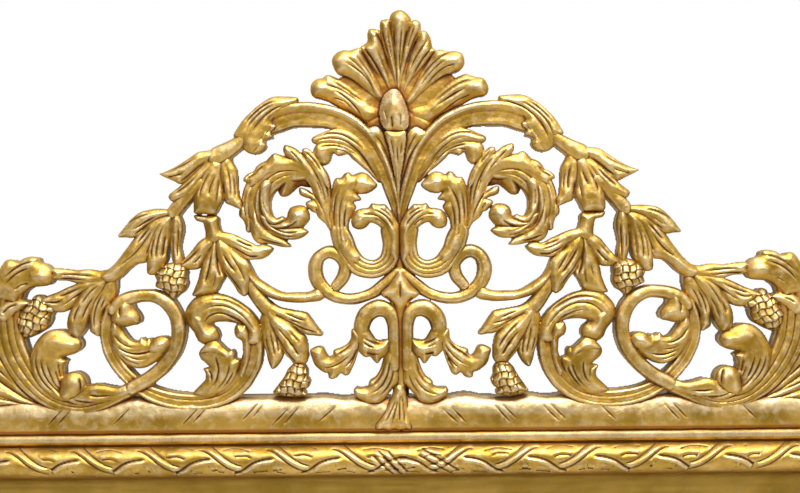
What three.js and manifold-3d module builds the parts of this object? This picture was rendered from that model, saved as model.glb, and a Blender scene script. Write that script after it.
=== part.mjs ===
// A tall giltwood wall mirror with a pierced and carved acanthus crest.
// Millimetres, +Z up, the glass faces -Y, and X runs to the right.
// The origin is the centre of the bottom rail's underside, half way between wall and front.
import * as THREE from "three";
import { mergeVertices } from "three/addons/utils/BufferGeometryUtils.js";
import Module from "manifold-3d";

const wasm = await Module();
wasm.setup();

// ---- Driving dimensions -------------------------------------------------------------------
const FRAME_WIDTH = 1200;
const FRAME_HEIGHT = 1500;
const WALL_Y = 45; // the wall plane, so that y = WALL_Y - depth, with depth measured from the wall
const GAP = 0.3; // air between pieces that touch
const BACK_DEPTH = 10; // back face of the rails, clear of the wall by the pads' thickness

const OUTER_WALL_DEPTH = 60; // where the rail's outer side ends and its bead begins
const BEAD_RADIUS = 7;
const QUIRK_WIDTH = 2;
const QUIRK_DEPTH = 56;
const TORUS_HALF_WIDTH = 18;
const TORUS_BASE_DEPTH = 62;
const TORUS_RISE = 23;
const HOLLOW_START_DEPTH = 58;
const HOLLOW_WIDTH = 48;
const HOLLOW_FALL = 24;
const SIGHT_BEAD_RADIUS = 6;
const LIP_DEPTH = 26;
const REBATE_WIDTH = 20;

const GLASS_THICKNESS = 5;
const GLASS_CLEARANCE = 1;
const BACKBOARD_THICKNESS = 7;
const BACKBOARD_SEAM = 1;

const PAD_RADIUS = 12;
const PAD_INSET = 48; // distance of pads and hangers from the frame's outer edge
const PAD_HEIGHTS = { lower: 210, upper: 1290 };

const HANGER_HEIGHT = 1180; // height of the ring's hinge line
const HANGER_AXIS_DEPTH = 5.9;
const RING_ROD_RADIUS = 2;
const RING_BOW_RADIUS = 13.5;
const RING_BOW_RISE = 8;
const EYE_BORE_RADIUS = 2.3;
const EYE_OUTER_RADIUS = 3.8;
const EYE_LENGTH = 10;
const HANGER_PLATE = { width: 18, thickness: 1.5, drop: 46 };
const SCREW_DROPS = { upper: 12, lower: 38 };
const SCREW = { headRadius: 4, headHeight: 1.6, shankRadius: 1.8, length: 16 };
const SCREW_HOLE_RADIUS = 2.2;

const BRACE = { leg: 130, width: 24, thickness: 3, inset: 40 };
const STRAP = { width: 25, thickness: 3, below: 70, above: 36, place: 300 };
const BATTEN = { halfWidth: 10, top: 296 };

// ---- Crest: heights above the rail and fronts above the crest's own back, left half ---------
const CREST_BACK_DEPTH = 38;
const LEAF_FRONT = 36;
const SCROLL_FRONT = 34;
const KNOB_FRONT = 41;
const CONE_FRONT = 40;
const BUD_FRONT = 46;
const HUB_FRONT = 16; // the palmette's hub, which the bud sits on
const LOG_FRONT = 61; // the base log is as deep as the rail, so this is above the rail's back
const LOG_BOTTOM = GAP;

// ---- Materials ------------------------------------------------------------------------------
const finish = (color, roughness, metalness) =>
  new THREE.MeshStandardMaterial({ color, roughness, metalness });
const GILDING = finish(0xc4a04c, 0.42, 0.75);
const GILDED_MOULDING = finish(0xb98f3a, 0.4, 0.75);
const DARK_GILDING = finish(0xa9853a, 0.5, 0.7);
const SILVERED_GLASS = finish(0xd9dee0, 0.04, 1);
const PINE = finish(0xb58a58, 0.75, 0);
const DARK_IRON = finish(0x4a4642, 0.55, 0.85);
const BRASS = finish(0xb48b3c, 0.35, 0.9);
const FELT = finish(0x3d4a3a, 0.95, 0);

// ---- Solids -----------------------------------------------------------------------------------
/** Turns a closed geometry into a solid that can be joined and cut. */
function solid(geometry) {
  const bare = geometry.clone();
  bare.deleteAttribute("normal");
  bare.deleteAttribute("uv");
  const merged = mergeVertices(bare, 1e-4);
  return new wasm.Manifold(
    new wasm.Mesh({
      numProp: 3,
      vertProperties: new Float32Array(merged.attributes.position.array),
      triVerts: new Uint32Array(merged.index.array),
    }),
  );
}

/** The largest connected body of a solid, without the slivers that a cut can leave. */
function mainBody(whole) {
  const bodies = whole.decompose();
  return bodies.reduce((best, body) => (body.volume() > best.volume() ? body : best));
}

/** Turns a solid back into a geometry. */
function geometryOf(body) {
  const { vertProperties, triVerts } = body.getMesh();
  const geometry = new THREE.BufferGeometry();
  geometry.setAttribute("position", new THREE.BufferAttribute(new Float32Array(vertProperties), 3));
  geometry.setIndex(new THREE.BufferAttribute(new Uint32Array(triVerts), 1));
  geometry.computeVertexNormals();
  return geometry;
}

/** A geometry from rings of equal length: skin between them, and the given faces at each end. */
function skinRings(rings, { closed = false, capFaces = [] } = {}) {
  const size = rings[0].length;
  const indices = [];
  const spans = closed ? rings.length : rings.length - 1;
  for (let ring = 0; ring < spans; ring += 1) {
    const here = ring * size;
    const next = ((ring + 1) % rings.length) * size;
    for (let side = 0; side < size; side += 1) {
      const other = (side + 1) % size;
      indices.push(here + side, next + side, next + other);
      indices.push(here + side, next + other, here + other);
    }
  }
  const last = (rings.length - 1) * size;
  for (const [a, b, c] of capFaces) {
    indices.push(a, b, c);
    indices.push(last + a, last + c, last + b);
  }
  const geometry = new THREE.BufferGeometry();
  geometry.setAttribute("position", new THREE.Float32BufferAttribute(rings.flat(2), 3));
  geometry.setIndex(indices);
  return outward(geometry);
}

/** Flips a closed geometry's faces if they point inwards. */
function outward(geometry) {
  const index = geometry.index.array;
  const position = geometry.attributes.position;
  const corner = [new THREE.Vector3(), new THREE.Vector3(), new THREE.Vector3()];
  let volume = 0;
  for (let face = 0; face < index.length; face += 3) {
    corner.forEach((point, k) => point.fromBufferAttribute(position, index[face + k]));
    volume += corner[0].dot(corner[1].clone().cross(corner[2])) / 6;
  }
  if (volume < 0) {
    for (let face = 0; face < index.length; face += 3) {
      [index[face], index[face + 1]] = [index[face + 1], index[face]];
    }
  }
  return geometry;
}

/** A fan of triangles over a convex ring of the given size. */
const fan = (size) => Array.from({ length: size - 2 }, (_, k) => [0, k + 1, k + 2]);

// ---- Object and placing helpers -----------------------------------------------------------------
const mirror = new THREE.Group();
const yAt = (depth) => WALL_Y - depth;

function add(name, geometry, material, parent = mirror) {
  const mesh = new THREE.Mesh(geometry, material);
  mesh.name = name;
  parent.add(mesh);
  return mesh;
}

const SIDES = [
  { side: "left", sign: -1 },
  { side: "right", sign: 1 },
];

// ---- Frame rails: one moulding, mitred at its four corners --------------------------------------
/** Points of an elliptical arc from one angle to another, in degrees. */
function arc(centre, radii, from, to, steps) {
  return Array.from({ length: steps + 1 }, (_, k) => {
    const angle = THREE.MathUtils.degToRad(from + ((to - from) * k) / steps);
    return [centre[0] + radii[0] * Math.cos(angle), centre[1] + radii[1] * Math.sin(angle)];
  });
}

/** A half-round bead of the moulding. */
const beadArc = (inward, depth, radius) => arc([inward, depth], [radius, radius], 180, 0, 6);

const torusStart = 2 * BEAD_RADIUS + QUIRK_WIDTH;
const torusEnd = torusStart + 2 * TORUS_HALF_WIDTH;
const hollowStart = torusEnd + QUIRK_WIDTH;
const hollowEnd = hollowStart + HOLLOW_WIDTH;
const hollowEndDepth = HOLLOW_START_DEPTH - HOLLOW_FALL;
const sightStart = hollowEnd + QUIRK_WIDTH;
const RAIL_WIDTH = sightStart + 2 * SIGHT_BEAD_RADIUS;
const rebateStart = RAIL_WIDTH - REBATE_WIDTH;

/** The moulding's section as [distance in from the outer edge, depth from the wall]. */
const MOULDING = [
  [0, BACK_DEPTH],
  ...beadArc(BEAD_RADIUS, OUTER_WALL_DEPTH, BEAD_RADIUS),
  [2 * BEAD_RADIUS, QUIRK_DEPTH],
  [torusStart, QUIRK_DEPTH],
  ...arc([torusStart + TORUS_HALF_WIDTH, TORUS_BASE_DEPTH], [TORUS_HALF_WIDTH, TORUS_RISE], 180, 0, 10),
  [torusEnd, HOLLOW_START_DEPTH],
  ...arc([hollowEnd, HOLLOW_START_DEPTH], [HOLLOW_WIDTH, HOLLOW_FALL], 180, 270, 6),
  ...beadArc(sightStart + SIGHT_BEAD_RADIUS, hollowEndDepth, SIGHT_BEAD_RADIUS),
  [RAIL_WIDTH, LIP_DEPTH],
  [rebateStart, LIP_DEPTH],
  [rebateStart, BACK_DEPTH],
];

/** A rail along X with its outer edge at z = 0 and its section hanging below, mitred at both ends. */
function railGeometry(length) {
  const mitreSetBack = GAP / Math.SQRT2;
  const end = length / 2 - mitreSetBack;
  const ring = (sign) => MOULDING.map(([inward, depth]) => [sign * (end - inward), yAt(depth), -inward]);
  const outline = MOULDING.map(([inward, depth]) => new THREE.Vector2(inward, depth));
  // The section runs clockwise, and the triangulation always comes back anticlockwise.
  const capFaces = THREE.ShapeUtils.triangulateShape(outline, []).map(([a, b, c]) => [a, c, b]);
  return skinRings([ring(-1), ring(1)], { capFaces });
}

const hangerX = FRAME_WIDTH / 2 - PAD_INSET;

/** A screw hole in a stile's back, in the stile's own frame, where x runs along its height. */
function screwHole(alongStile) {
  const hole = new THREE.CylinderGeometry(SCREW_HOLE_RADIUS, SCREW_HOLE_RADIUS, SCREW.length + 2, 10);
  hole.translate(alongStile, yAt(BACK_DEPTH) - SCREW.length / 2, -PAD_INSET);
  return solid(hole);
}

function addRail(name, length, turn, place, holes = []) {
  const plain = solid(railGeometry(length));
  const bored = holes.reduce((body, hole) => body.subtract(hole), plain);
  const rail = add(name, geometryOf(bored), GILDED_MOULDING);
  rail.rotation.y = turn;
  rail.position.set(...place);
}

addRail("top_rail", FRAME_WIDTH, 0, [0, 0, FRAME_HEIGHT]);
addRail("bottom_rail", FRAME_WIDTH, Math.PI, [0, 0, 0]);
for (const { side, sign } of SIDES) {
  const holes = Object.values(SCREW_DROPS).map((drop) => {
    const aboveMiddle = HANGER_HEIGHT - drop - FRAME_HEIGHT / 2;
    return screwHole(-sign * aboveMiddle);
  });
  const place = [(sign * FRAME_WIDTH) / 2, 0, FRAME_HEIGHT / 2];
  addRail(`${side}_stile`, FRAME_HEIGHT, (sign * Math.PI) / 2, place, holes);
}

// ---- Glass and backboards in the rebate ---------------------------------------------------------
const rebateWidth = FRAME_WIDTH - 2 * (rebateStart + GLASS_CLEARANCE);
const rebateHeight = FRAME_HEIGHT - 2 * (rebateStart + GLASS_CLEARANCE);
const glassDepth = LIP_DEPTH - GAP - GLASS_THICKNESS / 2;
const boardDepth = LIP_DEPTH - 2 * GAP - GLASS_THICKNESS - BACKBOARD_THICKNESS / 2;

function addPanel(name, [width, thickness, height], [depth, centreHeight], material) {
  const panel = add(name, new THREE.BoxGeometry(width, thickness, height), material);
  panel.position.set(0, yAt(depth), centreHeight);
}

const glassSize = [rebateWidth, GLASS_THICKNESS, rebateHeight];
addPanel("mirror_plate", glassSize, [glassDepth, FRAME_HEIGHT / 2], SILVERED_GLASS);
const boardHeight = (rebateHeight - BACKBOARD_SEAM) / 2;
const boardOffset = (boardHeight + BACKBOARD_SEAM) / 2;
for (const [name, offset] of [["backboard_lower", -boardOffset], ["backboard_upper", boardOffset]]) {
  const size = [rebateWidth, BACKBOARD_THICKNESS, boardHeight];
  addPanel(name, size, [boardDepth, FRAME_HEIGHT / 2 + offset], PINE);
}

// ---- Iron corner braces over the mitres -----------------------------------------------------------
/** An L-shaped plate with its outer corner at the origin, its legs along +X and +Y, thickness along +Z. */
function braceGeometry() {
  const { leg, width, thickness } = BRACE;
  const outline = new THREE.Shape();
  outline.moveTo(0, 0);
  outline.lineTo(leg, 0);
  outline.lineTo(leg, width);
  outline.lineTo(width, width);
  outline.lineTo(width, leg);
  outline.lineTo(0, leg);
  outline.closePath();
  return new THREE.ExtrudeGeometry(outline, { depth: thickness, bevelEnabled: false });
}

const braceReach = {
  x: FRAME_WIDTH / 2 - BRACE.inset,
  low: BRACE.inset,
  high: FRAME_HEIGHT - BRACE.inset,
};
const braceBack = yAt(BACK_DEPTH - GAP);
for (const [name, x, z, turn] of [
  ["corner_brace_lower_left", -braceReach.x, braceReach.low, 0],
  ["corner_brace_lower_right", braceReach.x, braceReach.low, -Math.PI / 2],
  ["corner_brace_upper_right", braceReach.x, braceReach.high, Math.PI],
  ["corner_brace_upper_left", -braceReach.x, braceReach.high, Math.PI / 2],
]) {
  const corner = new THREE.Group();
  corner.position.set(x, braceBack, z);
  corner.rotation.y = turn;
  const plate = add(name, braceGeometry(), DARK_IRON, corner);
  plate.rotation.x = Math.PI / 2;
  plate.position.y = BRACE.thickness;
  mirror.add(corner);
}

// ---- Felt pads that keep the frame off the wall ---------------------------------------------------
for (const { side, sign } of SIDES) {
  for (const [level, height] of Object.entries(PAD_HEIGHTS)) {
    const thickness = BACK_DEPTH - GAP;
    const pad = new THREE.CylinderGeometry(PAD_RADIUS, PAD_RADIUS, thickness, 20);
    const placedPad = add(`wall_pad_${level}_${side}`, pad, FELT);
    placedPad.position.set(sign * hangerX, yAt(thickness / 2), height);
  }
}

// ---- Hangers: a plate with an eye, a bow that turns in the eye, and two screws -------------------
/** A turned solid about the Y axis from a closed or axis-to-axis profile of [radius, height]. */
function turned(profile, segments) {
  const points = profile.map(([radius, height]) => new THREE.Vector2(radius, height));
  return new THREE.LatheGeometry(points, segments);
}

/** The eye: a short tube along X around the hinge line. */
function eyeGeometry() {
  const half = EYE_LENGTH / 2;
  const section = [
    [EYE_BORE_RADIUS, -half],
    [EYE_OUTER_RADIUS, -half],
    [EYE_OUTER_RADIUS, half],
    [EYE_BORE_RADIUS, half],
    [EYE_BORE_RADIUS, -half],
  ];
  return turned(section, 16).rotateZ(Math.PI / 2);
}

/** The hanger plate with its eye, about the hinge line, hanging along -Z with the wall at +Y. */
function hangerPlateSolid() {
  const { width, thickness, drop } = HANGER_PLATE;
  const plate = new THREE.BoxGeometry(width, thickness, drop);
  const back = -(BACK_DEPTH - GAP - HANGER_AXIS_DEPTH);
  plate.translate(0, back + thickness / 2, -drop / 2);
  const holes = Object.values(SCREW_DROPS).map((down) => {
    const hole = new THREE.CylinderGeometry(SCREW_HOLE_RADIUS, SCREW_HOLE_RADIUS, 3 * thickness, 10);
    return solid(hole.translate(0, back, -down));
  });
  const boreRod = new THREE.CylinderGeometry(EYE_BORE_RADIUS, EYE_BORE_RADIUS, 2 * width, 16);
  const bore = solid(boreRod.rotateZ(Math.PI / 2));
  const joined = solid(plate).subtract(bore).add(solid(eyeGeometry()));
  return holes.reduce((body, hole) => body.subtract(hole), joined);
}

/** The bow: one rod bent to a D, whose straight side is the hinge pin on the X axis. */
function bowGeometry() {
  const straight = [-9, -4, 4, 9].map((x) => [x, 0]);
  const bend = arc([0, RING_BOW_RISE], [RING_BOW_RADIUS, RING_BOW_RADIUS], -22, 202, 14);
  const path = [...straight, ...bend].map(([x, z]) => new THREE.Vector2(x, z));
  const rings = path.map((point, k) => {
    const before = path[(k + path.length - 1) % path.length];
    const after = path[(k + 1) % path.length];
    const along = after.clone().sub(before).normalize();
    return arc([0, 0], [RING_ROD_RADIUS, RING_ROD_RADIUS], 0, 315, 7).map(([across, outwards]) => [
      point.x + across * along.y,
      outwards,
      point.y - across * along.x,
    ]);
  });
  return skinRings(rings, { closed: true });
}

/** A round-headed screw along -Y, from its head's crown at y = headHeight. */
function screwGeometry() {
  const { headRadius, headHeight, shankRadius, length } = SCREW;
  const profile = [
    [0, -length],
    [shankRadius, -length + shankRadius],
    [shankRadius, 0],
    [headRadius, 0],
    [headRadius * 0.8, headHeight * 0.7],
    [0, headHeight],
  ];
  return turned(profile, 12);
}

for (const { side, sign } of SIDES) {
  const hanger = new THREE.Group();
  hanger.position.set(sign * hangerX, yAt(HANGER_AXIS_DEPTH), HANGER_HEIGHT);
  add(`hanger_plate_${side}`, geometryOf(hangerPlateSolid()), BRASS, hanger);
  add(`hanger_ring_${side}`, bowGeometry(), BRASS, hanger);
  const plateFace = HANGER_AXIS_DEPTH - (BACK_DEPTH - GAP) + HANGER_PLATE.thickness;
  for (const [level, drop] of Object.entries(SCREW_DROPS)) {
    const screw = add(`hanger_screw_${level}_${side}`, screwGeometry(), DARK_IRON, hanger);
    screw.position.set(0, plateFace + GAP, -drop);
  }
  mirror.add(hanger);
}

// ---- Strokes: the crest's leaves, stems and scrolls ----------------------------------------------
// A stroke follows stations [x, z, half width] and has a crowned section on straight walls.
// Both ends are rounded. Narrow places lie lower, as they do where a carver thins a leaf to its tip.
const STEPS_PER_SPAN = 1;
const SHOULDER_SHARE = 0.55;
const TIP_DROP = 7;
const FULL_WIDTH = 9;
const CAP = { advance: 0.72, width: 0.66 };

// A form stands on the crest's back unless it is given a back of its own.
const stroke = (stations, front = LEAF_FRONT, back = 0) => ({ stations, front, back });
const boss = (centre, radii, tilt, front) => ({ centre, radii, tilt, front });
const knob = (x, z, radius, front = KNOB_FRONT) => boss([x, z], [radius, radius], 0, front);

/** One cross-section of a stroke: two walls and a ridge, as five points [x, y, z]. */
function strokeRing(x, z, across, halfWidth, [front, back], grow) {
  const half = halfWidth + grow;
  const top = front - TIP_DROP * Math.max(0, 1 - halfWidth / FULL_WIDTH) + grow;
  const shoulder = top - SHOULDER_SHARE * Math.min(halfWidth, FULL_WIDTH);
  const section = [
    [-half, back - grow],
    [half, back - grow],
    [half, shoulder],
    [0, top],
    [-half, shoulder],
  ];
  return section.map(([offset, height]) => [x + offset * across.x, -height, z + offset * across.y]);
}

function strokeSolid({ stations, front, back }, grow) {
  const line = new THREE.CatmullRomCurve3(
    stations.map(([x, z, half]) => new THREE.Vector3(x, z, half)),
    false,
    "centripetal",
  );
  const steps = (stations.length - 1) * STEPS_PER_SPAN;
  const rings = [];
  const place = (at, advance, widthShare) => {
    const point = line.getPoint(at);
    const along = line.getTangent(at).setZ(0).normalize();
    const across = new THREE.Vector2(-along.y, along.x);
    const reach = advance * (point.z + grow);
    const [x, z] = [point.x + reach * along.x, point.y + reach * along.y];
    rings.push(strokeRing(x, z, across, point.z * widthShare, [front, back], grow));
  };
  place(0, -CAP.advance, CAP.width);
  for (let step = 0; step <= steps; step += 1) {
    place(step / steps, 0, 1);
  }
  place(1, CAP.advance, CAP.width);
  return solid(skinRings(rings, { capFaces: fan(5) }));
}

/** A domed boss on straight walls: an eight-sided ellipse with a flat crown. */
function bossSolid({ centre, radii, tilt, front }, grow) {
  const turn = THREE.MathUtils.degToRad(tilt);
  const levels = [
    [1, -grow],
    [1, front * 0.62],
    [0.82, front * 0.86],
    [0.4, front + grow],
  ];
  const rings = levels.map(([share, height]) =>
    arc([0, 0], [radii[0] * share + grow, radii[1] * share + grow], 0, 315, 7).map(([a, b]) => [
      centre[0] + a * Math.cos(turn) - b * Math.sin(turn),
      -height,
      centre[1] + a * Math.sin(turn) + b * Math.cos(turn),
    ]),
  );
  return solid(skinRings(rings, { capFaces: fan(8) }));
}

/** Joins a piece's strokes and bosses; grow fattens them, for cutting their bed in a neighbour. */
function carve(forms, grow = 0) {
  const bodies = forms.map((form) => (form.stations ? strokeSolid(form, grow) : bossSolid(form, grow)));
  return bodies.reduce((joined, body) => joined.add(body));
}

// ---- What each carved piece is made of, left of centre -------------------------------------------
const CENTER_BUD = [stroke([[-5, 376, 13], [-5, 390, 17], [-4, 402, 9]], BUD_FRONT, HUB_FRONT)];

const CENTER_STEM = [
  stroke([[0, 66, 11], [0, 90, 13], [0, 120, 12], [0, 148, 12], [0, 166, 19], [0, 186, 8]], 40),
  stroke([[0, 186, 7], [0, 215, 4], [0, 250, 4]], 30),
  stroke([[-1, 250, 5], [-1, 285, 6], [-1, 318, 9], [-1, 352, 14]], 38),
  stroke([[-3, 292, 5], [-12, 328, 8], [-22, 352, 9], [-27, 360, 6]]),
  stroke([[2, 292, 5], [10, 328, 8], [19, 350, 9], [23, 359, 6]]),
];

const FOOT_HUSK = [stroke([[-2, 56, 6], [-4, 44, 12], [-6, 30, 18], [-6, 20, 17]], 39)];

const PALMETTE = [
  boss([-1, 388], [40, 24], 0, HUB_FRONT - GAP),
  stroke([[0, 400, 7], [1, 430, 9], [3, 460, 13], [4, 485, 14], [4, 500.6, 11]]),
  stroke([[-1, 400, 6], [-5, 440, 8], [-10, 465, 9], [-15, 483, 9], [-16, 491, 5]], 34),
  stroke([[1, 400, 6], [7, 440, 8], [15, 465, 9], [21, 482, 9], [22, 490, 5]], 34),
  stroke([[-5, 400, 7], [-12, 430, 9], [-20, 452, 10], [-28, 471, 10], [-31, 480, 6]]),
  stroke([[5, 400, 7], [13, 430, 9], [22, 452, 10], [31, 467, 10], [34, 475, 6]]),
  stroke([[-9, 400, 7], [-20, 425, 9], [-34, 448, 9], [-42, 460, 5]], 34),
  stroke([[9, 400, 7], [21, 425, 9], [36, 446, 9], [44, 458, 5]], 34),
  stroke([[-12, 396, 11], [-30, 413, 15], [-48, 435, 17], [-60, 446, 15], [-69, 450, 10]]),
  stroke([[12, 396, 11], [30, 413, 15], [48, 434, 17], [60, 444, 15], [70, 448, 10]]),
  stroke([[-22, 385, 12], [-44, 393, 14], [-65, 405, 16], [-85, 415, 13], [-96, 416, 10]]),
  stroke([[22, 385, 12], [44, 393, 14], [65, 403, 16], [85, 411, 14], [97, 412, 10]]),
];

const ARCH = [
  stroke([
    [-3, 262, 5], [-8, 285, 7], [-14, 310, 8], [-23, 334, 10], [-36, 356, 12], [-56, 373, 14],
    [-80, 382, 14], [-108, 383, 15], [-134, 382, 16], [-156, 375, 17], [-174, 364, 15], [-190, 352, 11],
  ], SCROLL_FRONT),
  stroke([[-150, 374, 12], [-148, 362, 9], [-150, 355, 5]]),
  stroke([[-168, 368, 14], [-163, 352, 12], [-157, 341, 9], [-152, 337, 5]]),
  stroke([[-186, 358, 10], [-181, 344, 9], [-177, 335, 5]]),
];

const UPPER_SIDE_LEAF = [
  stroke([[-18, 305, 7], [-32, 323, 12], [-48, 341, 15], [-68, 350, 13], [-88, 353, 9], [-100, 353, 5]]),
  stroke([[-51, 339, 10], [-70, 342, 12], [-87, 336, 12], [-92, 332, 9]]),
];

const INNER_LOOP = [
  stroke([
    [-74, 298, 8], [-77, 276, 10], [-74, 255, 14], [-68, 236, 12], [-62, 216, 11], [-49, 199, 11],
    [-30, 195, 10], [-16, 205, 10], [-12, 225, 10], [-13, 243, 11], [-23, 258, 11], [-38, 262, 10],
    [-49, 257, 9],
  ], SCROLL_FRONT),
  knob(-52, 255, 10),
  stroke([[-73, 262, 7], [-72, 285, 9], [-62, 301, 10], [-48, 302, 11]]),
  knob(-41, 300, 13),
  stroke([[-70, 264, 6], [-60, 277, 6], [-48, 284, 4]], 32),
];

const ACANTHUS_SCROLL = [
  stroke([
    [-86, 258, 8], [-91, 280, 12], [-100, 302, 17], [-118, 319, 20], [-140, 320, 18], [-160, 307, 17],
    [-172, 287, 16], [-173, 266, 16], [-163, 248, 15], [-146, 242, 13], [-132, 249, 12],
  ], SCROLL_FRONT),
  knob(-122, 259, 13),
  stroke([[-97, 302, 10], [-105, 320, 11], [-113, 333, 8]]),
  stroke([[-118, 312, 12], [-132, 326, 14], [-151, 322, 13], [-172, 312, 8], [-184, 306, 2]]),
  stroke([[-152, 308, 10], [-170, 297, 12], [-182, 280, 10], [-191, 265, 2]]),
  stroke([[-172, 280, 10], [-177, 262, 10], [-182, 247, 5], [-183, 242, 2]]),
  stroke([[-170, 255, 10], [-155, 240, 11], [-140, 230, 6], [-134, 226, 2]]),
  stroke([[-150, 245, 8], [-130, 240, 6], [-112, 242, 2]]),
  stroke([[-118, 308, 9], [-134, 298, 8], [-142, 290, 4]]),
  stroke([[-104, 298, 7], [-114, 290, 6], [-118, 283, 3]], 34),
  stroke([[-92, 274, 7], [-101, 270, 5], [-107, 266, 2]], 34),
];

const TENDRIL_RING = [
  stroke([
    [-8, 184, 6], [-20, 177, 7], [-34, 167, 7], [-52, 160, 7], [-72, 160, 7], [-88, 167, 7],
    [-98, 182, 7], [-102, 199, 7], [-96, 211, 7], [-85, 216, 7], [-75, 209, 6], [-71, 197, 6],
    [-74, 183, 6], [-80, 172, 5],
  ], 32),
];

const OUTER_HUSKS = [
  stroke([[-184, 358, 7], [-200, 345, 8], [-219, 331, 8]], SCROLL_FRONT),
  stroke([[-222, 330, 9], [-240, 325, 12], [-258, 318, 12], [-275, 314, 6], [-286, 312, 2]]),
  stroke([[-228, 328, 8], [-245, 312, 11], [-258, 300, 12], [-270, 289, 6], [-276, 285, 2]]),
  stroke([[-224, 326, 9], [-230, 305, 13], [-233, 288, 14], [-234, 277, 12]], 38),
  stroke([[-216, 335, 9], [-209, 318, 11], [-205, 300, 10], [-201, 286, 8], [-196, 276, 3]]),
  stroke([[-245, 300, 9], [-262, 282, 9], [-270, 266, 8]], SCROLL_FRONT),
  stroke([
    [-278, 262, 8], [-295, 261, 9], [-310, 257, 11], [-322, 249, 10], [-333, 241, 4], [-338, 238, 2],
  ]),
  stroke([
    [-286, 262, 8], [-297, 245, 11], [-306, 229, 13], [-318, 215, 12], [-331, 203, 11], [-352, 187, 9],
  ], 37),
  stroke([[-282, 262, 7], [-287, 240, 9], [-292, 220, 10], [-296, 205, 9], [-297, 200, 7]], 38),
  stroke([[-270, 264, 8], [-269, 248, 9], [-269, 232, 8], [-268, 216, 6], [-269, 206, 3]]),
  stroke([[-352, 187, 9], [-370, 186, 9], [-390, 191, 8], [-408, 193, 6], [-416, 194, 2]]),
  stroke([[-365, 184, 9], [-385, 175, 12], [-405, 163, 12], [-420, 160, 9], [-429, 161, 3]]),
  stroke([[-370, 182, 9], [-382, 162, 11], [-389, 142, 11], [-391, 128, 8], [-391, 121, 4]], 38),
  stroke([[-352, 184, 9], [-356, 168, 10], [-364, 150, 10], [-370, 135, 8], [-369, 124, 3]]),
];

const INNER_HUSKS = [
  stroke([[-236, 255, 9], [-231, 247, 9], [-225, 236, 8]], SCROLL_FRONT),
  stroke([
    [-224, 236, 7], [-205, 227, 9], [-187, 220, 9], [-170, 218, 8], [-158, 219, 4], [-154, 221, 2],
  ]),
  stroke([[-226, 236, 7], [-238, 221, 9], [-248, 208, 9], [-258, 202, 5], [-264, 201, 2]]),
  stroke([[-224, 232, 8], [-228, 212, 10], [-229, 192, 12], [-233, 178, 10], [-241, 170, 4]], 38),
  stroke([[-218, 234, 8], [-210, 214, 12], [-201, 196, 12], [-193, 180, 9], [-188, 170, 3]]),
  stroke([
    [-195, 203, 6], [-185, 191, 7], [-170, 180, 6], [-150, 169, 6], [-130, 162, 6], [-112, 161, 6],
  ], 32),
  stroke([[-195, 195, 7], [-180, 172, 8], [-165, 155, 8]], SCROLL_FRONT),
  stroke([[-160, 150, 8], [-145, 143, 9], [-128, 137, 10], [-112, 130, 9], [-99, 121, 4]]),
  stroke([[-156, 145, 9], [-143, 128, 12], [-130, 112, 13], [-121, 97, 10], [-118, 88, 5]], 38),
  stroke([[-160, 148, 8], [-160, 130, 9], [-157, 112, 10], [-154, 95, 9], [-154, 83, 5]]),
];

const RING_SCROLL = [
  stroke([
    [-348, 150, 8], [-354, 130, 8], [-352, 108, 9], [-341, 84, 9], [-320, 61, 9], [-298, 47, 10],
    [-270, 39, 11], [-240, 38, 11], [-213, 45, 11], [-193, 61, 12], [-181, 82, 13], [-177, 104, 12],
    [-181, 128, 12], [-192, 144, 12], [-211, 151, 13], [-230, 148, 13], [-242, 136, 11],
  ], SCROLL_FRONT),
  knob(-237, 119, 13),
  stroke([
    [-322, 56, 9], [-300, 69, 9], [-284, 83, 9], [-272, 101, 9], [-267, 121, 9], [-270, 141, 9],
    [-280, 157, 9], [-297, 166, 8], [-316, 166, 8], [-334, 160, 9], [-344, 151, 8],
  ], 36),
  stroke([[-347, 118, 8], [-343, 134, 10], [-335, 142, 12]], 34),
  knob(-328, 142, 14, 39),
  stroke([[-344, 104, 8], [-325, 95, 9], [-308, 92, 10], [-295, 100, 10]], 34),
  knob(-290, 106, 11, 39),
  stroke([[-345, 110, 6], [-330, 104, 8], [-316, 107, 8], [-309, 112, 4]], 32),
  stroke([[-250, 50, 6], [-234, 58, 10], [-220, 66, 11]], SCROLL_FRONT),
  stroke([[-203, 56, 9], [-214, 71, 12], [-223, 86, 12], [-226, 96, 11]], 38),
  stroke([[-196, 70, 8], [-200, 84, 8], [-204, 94, 8]], 36),
  stroke([[-187, 128, 8], [-196, 121, 8]], 36),
];

const OUTER_SCROLL = [
  stroke([
    [-428, 192, 10], [-446, 193, 15], [-464, 184, 17], [-473, 166, 18], [-474, 146, 18], [-473, 126, 18],
    [-469, 105, 18], [-459, 83, 17], [-446, 64, 15], [-430, 48, 12], [-410, 37, 11], [-385, 33, 10],
    [-362, 38, 10], [-344, 45, 9], [-326, 54, 9],
  ], SCROLL_FRONT),
  stroke([[-450, 195, 12], [-461, 199, 11], [-473, 204, 7]], 38),
  knob(-429, 190, 11),
  knob(-464, 150, 13),
  stroke([[-426, 55, 8], [-434, 75, 9], [-433, 93, 11], [-422, 108, 13], [-408, 112, 14]], 38),
  knob(-398, 110, 14),
  stroke([[-420, 50, 8], [-418, 64, 9], [-408, 70, 9], [-398, 67, 9]], 36),
  knob(-394, 65, 11, 39),
  stroke([[-400, 42, 7], [-385, 48, 8], [-368, 52, 8], [-354, 52, 6]], 36),
];

const TAIL_LEAF = [
  stroke([
    [-444, 46, 6], [-464, 62, 9], [-483, 84, 13], [-501, 104, 13], [-514, 124, 7], [-519, 134, 2],
  ]),
  stroke([
    [-442, 42, 6], [-468, 52, 9], [-495, 68, 13], [-522, 84, 13], [-543, 98, 7], [-552, 106, 2],
  ], 38),
  stroke([[-436, 36, 5], [-462, 43, 7], [-495, 48, 11], [-528, 54, 12], [-555, 63, 6], [-566, 69, 2]]),
];

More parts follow.
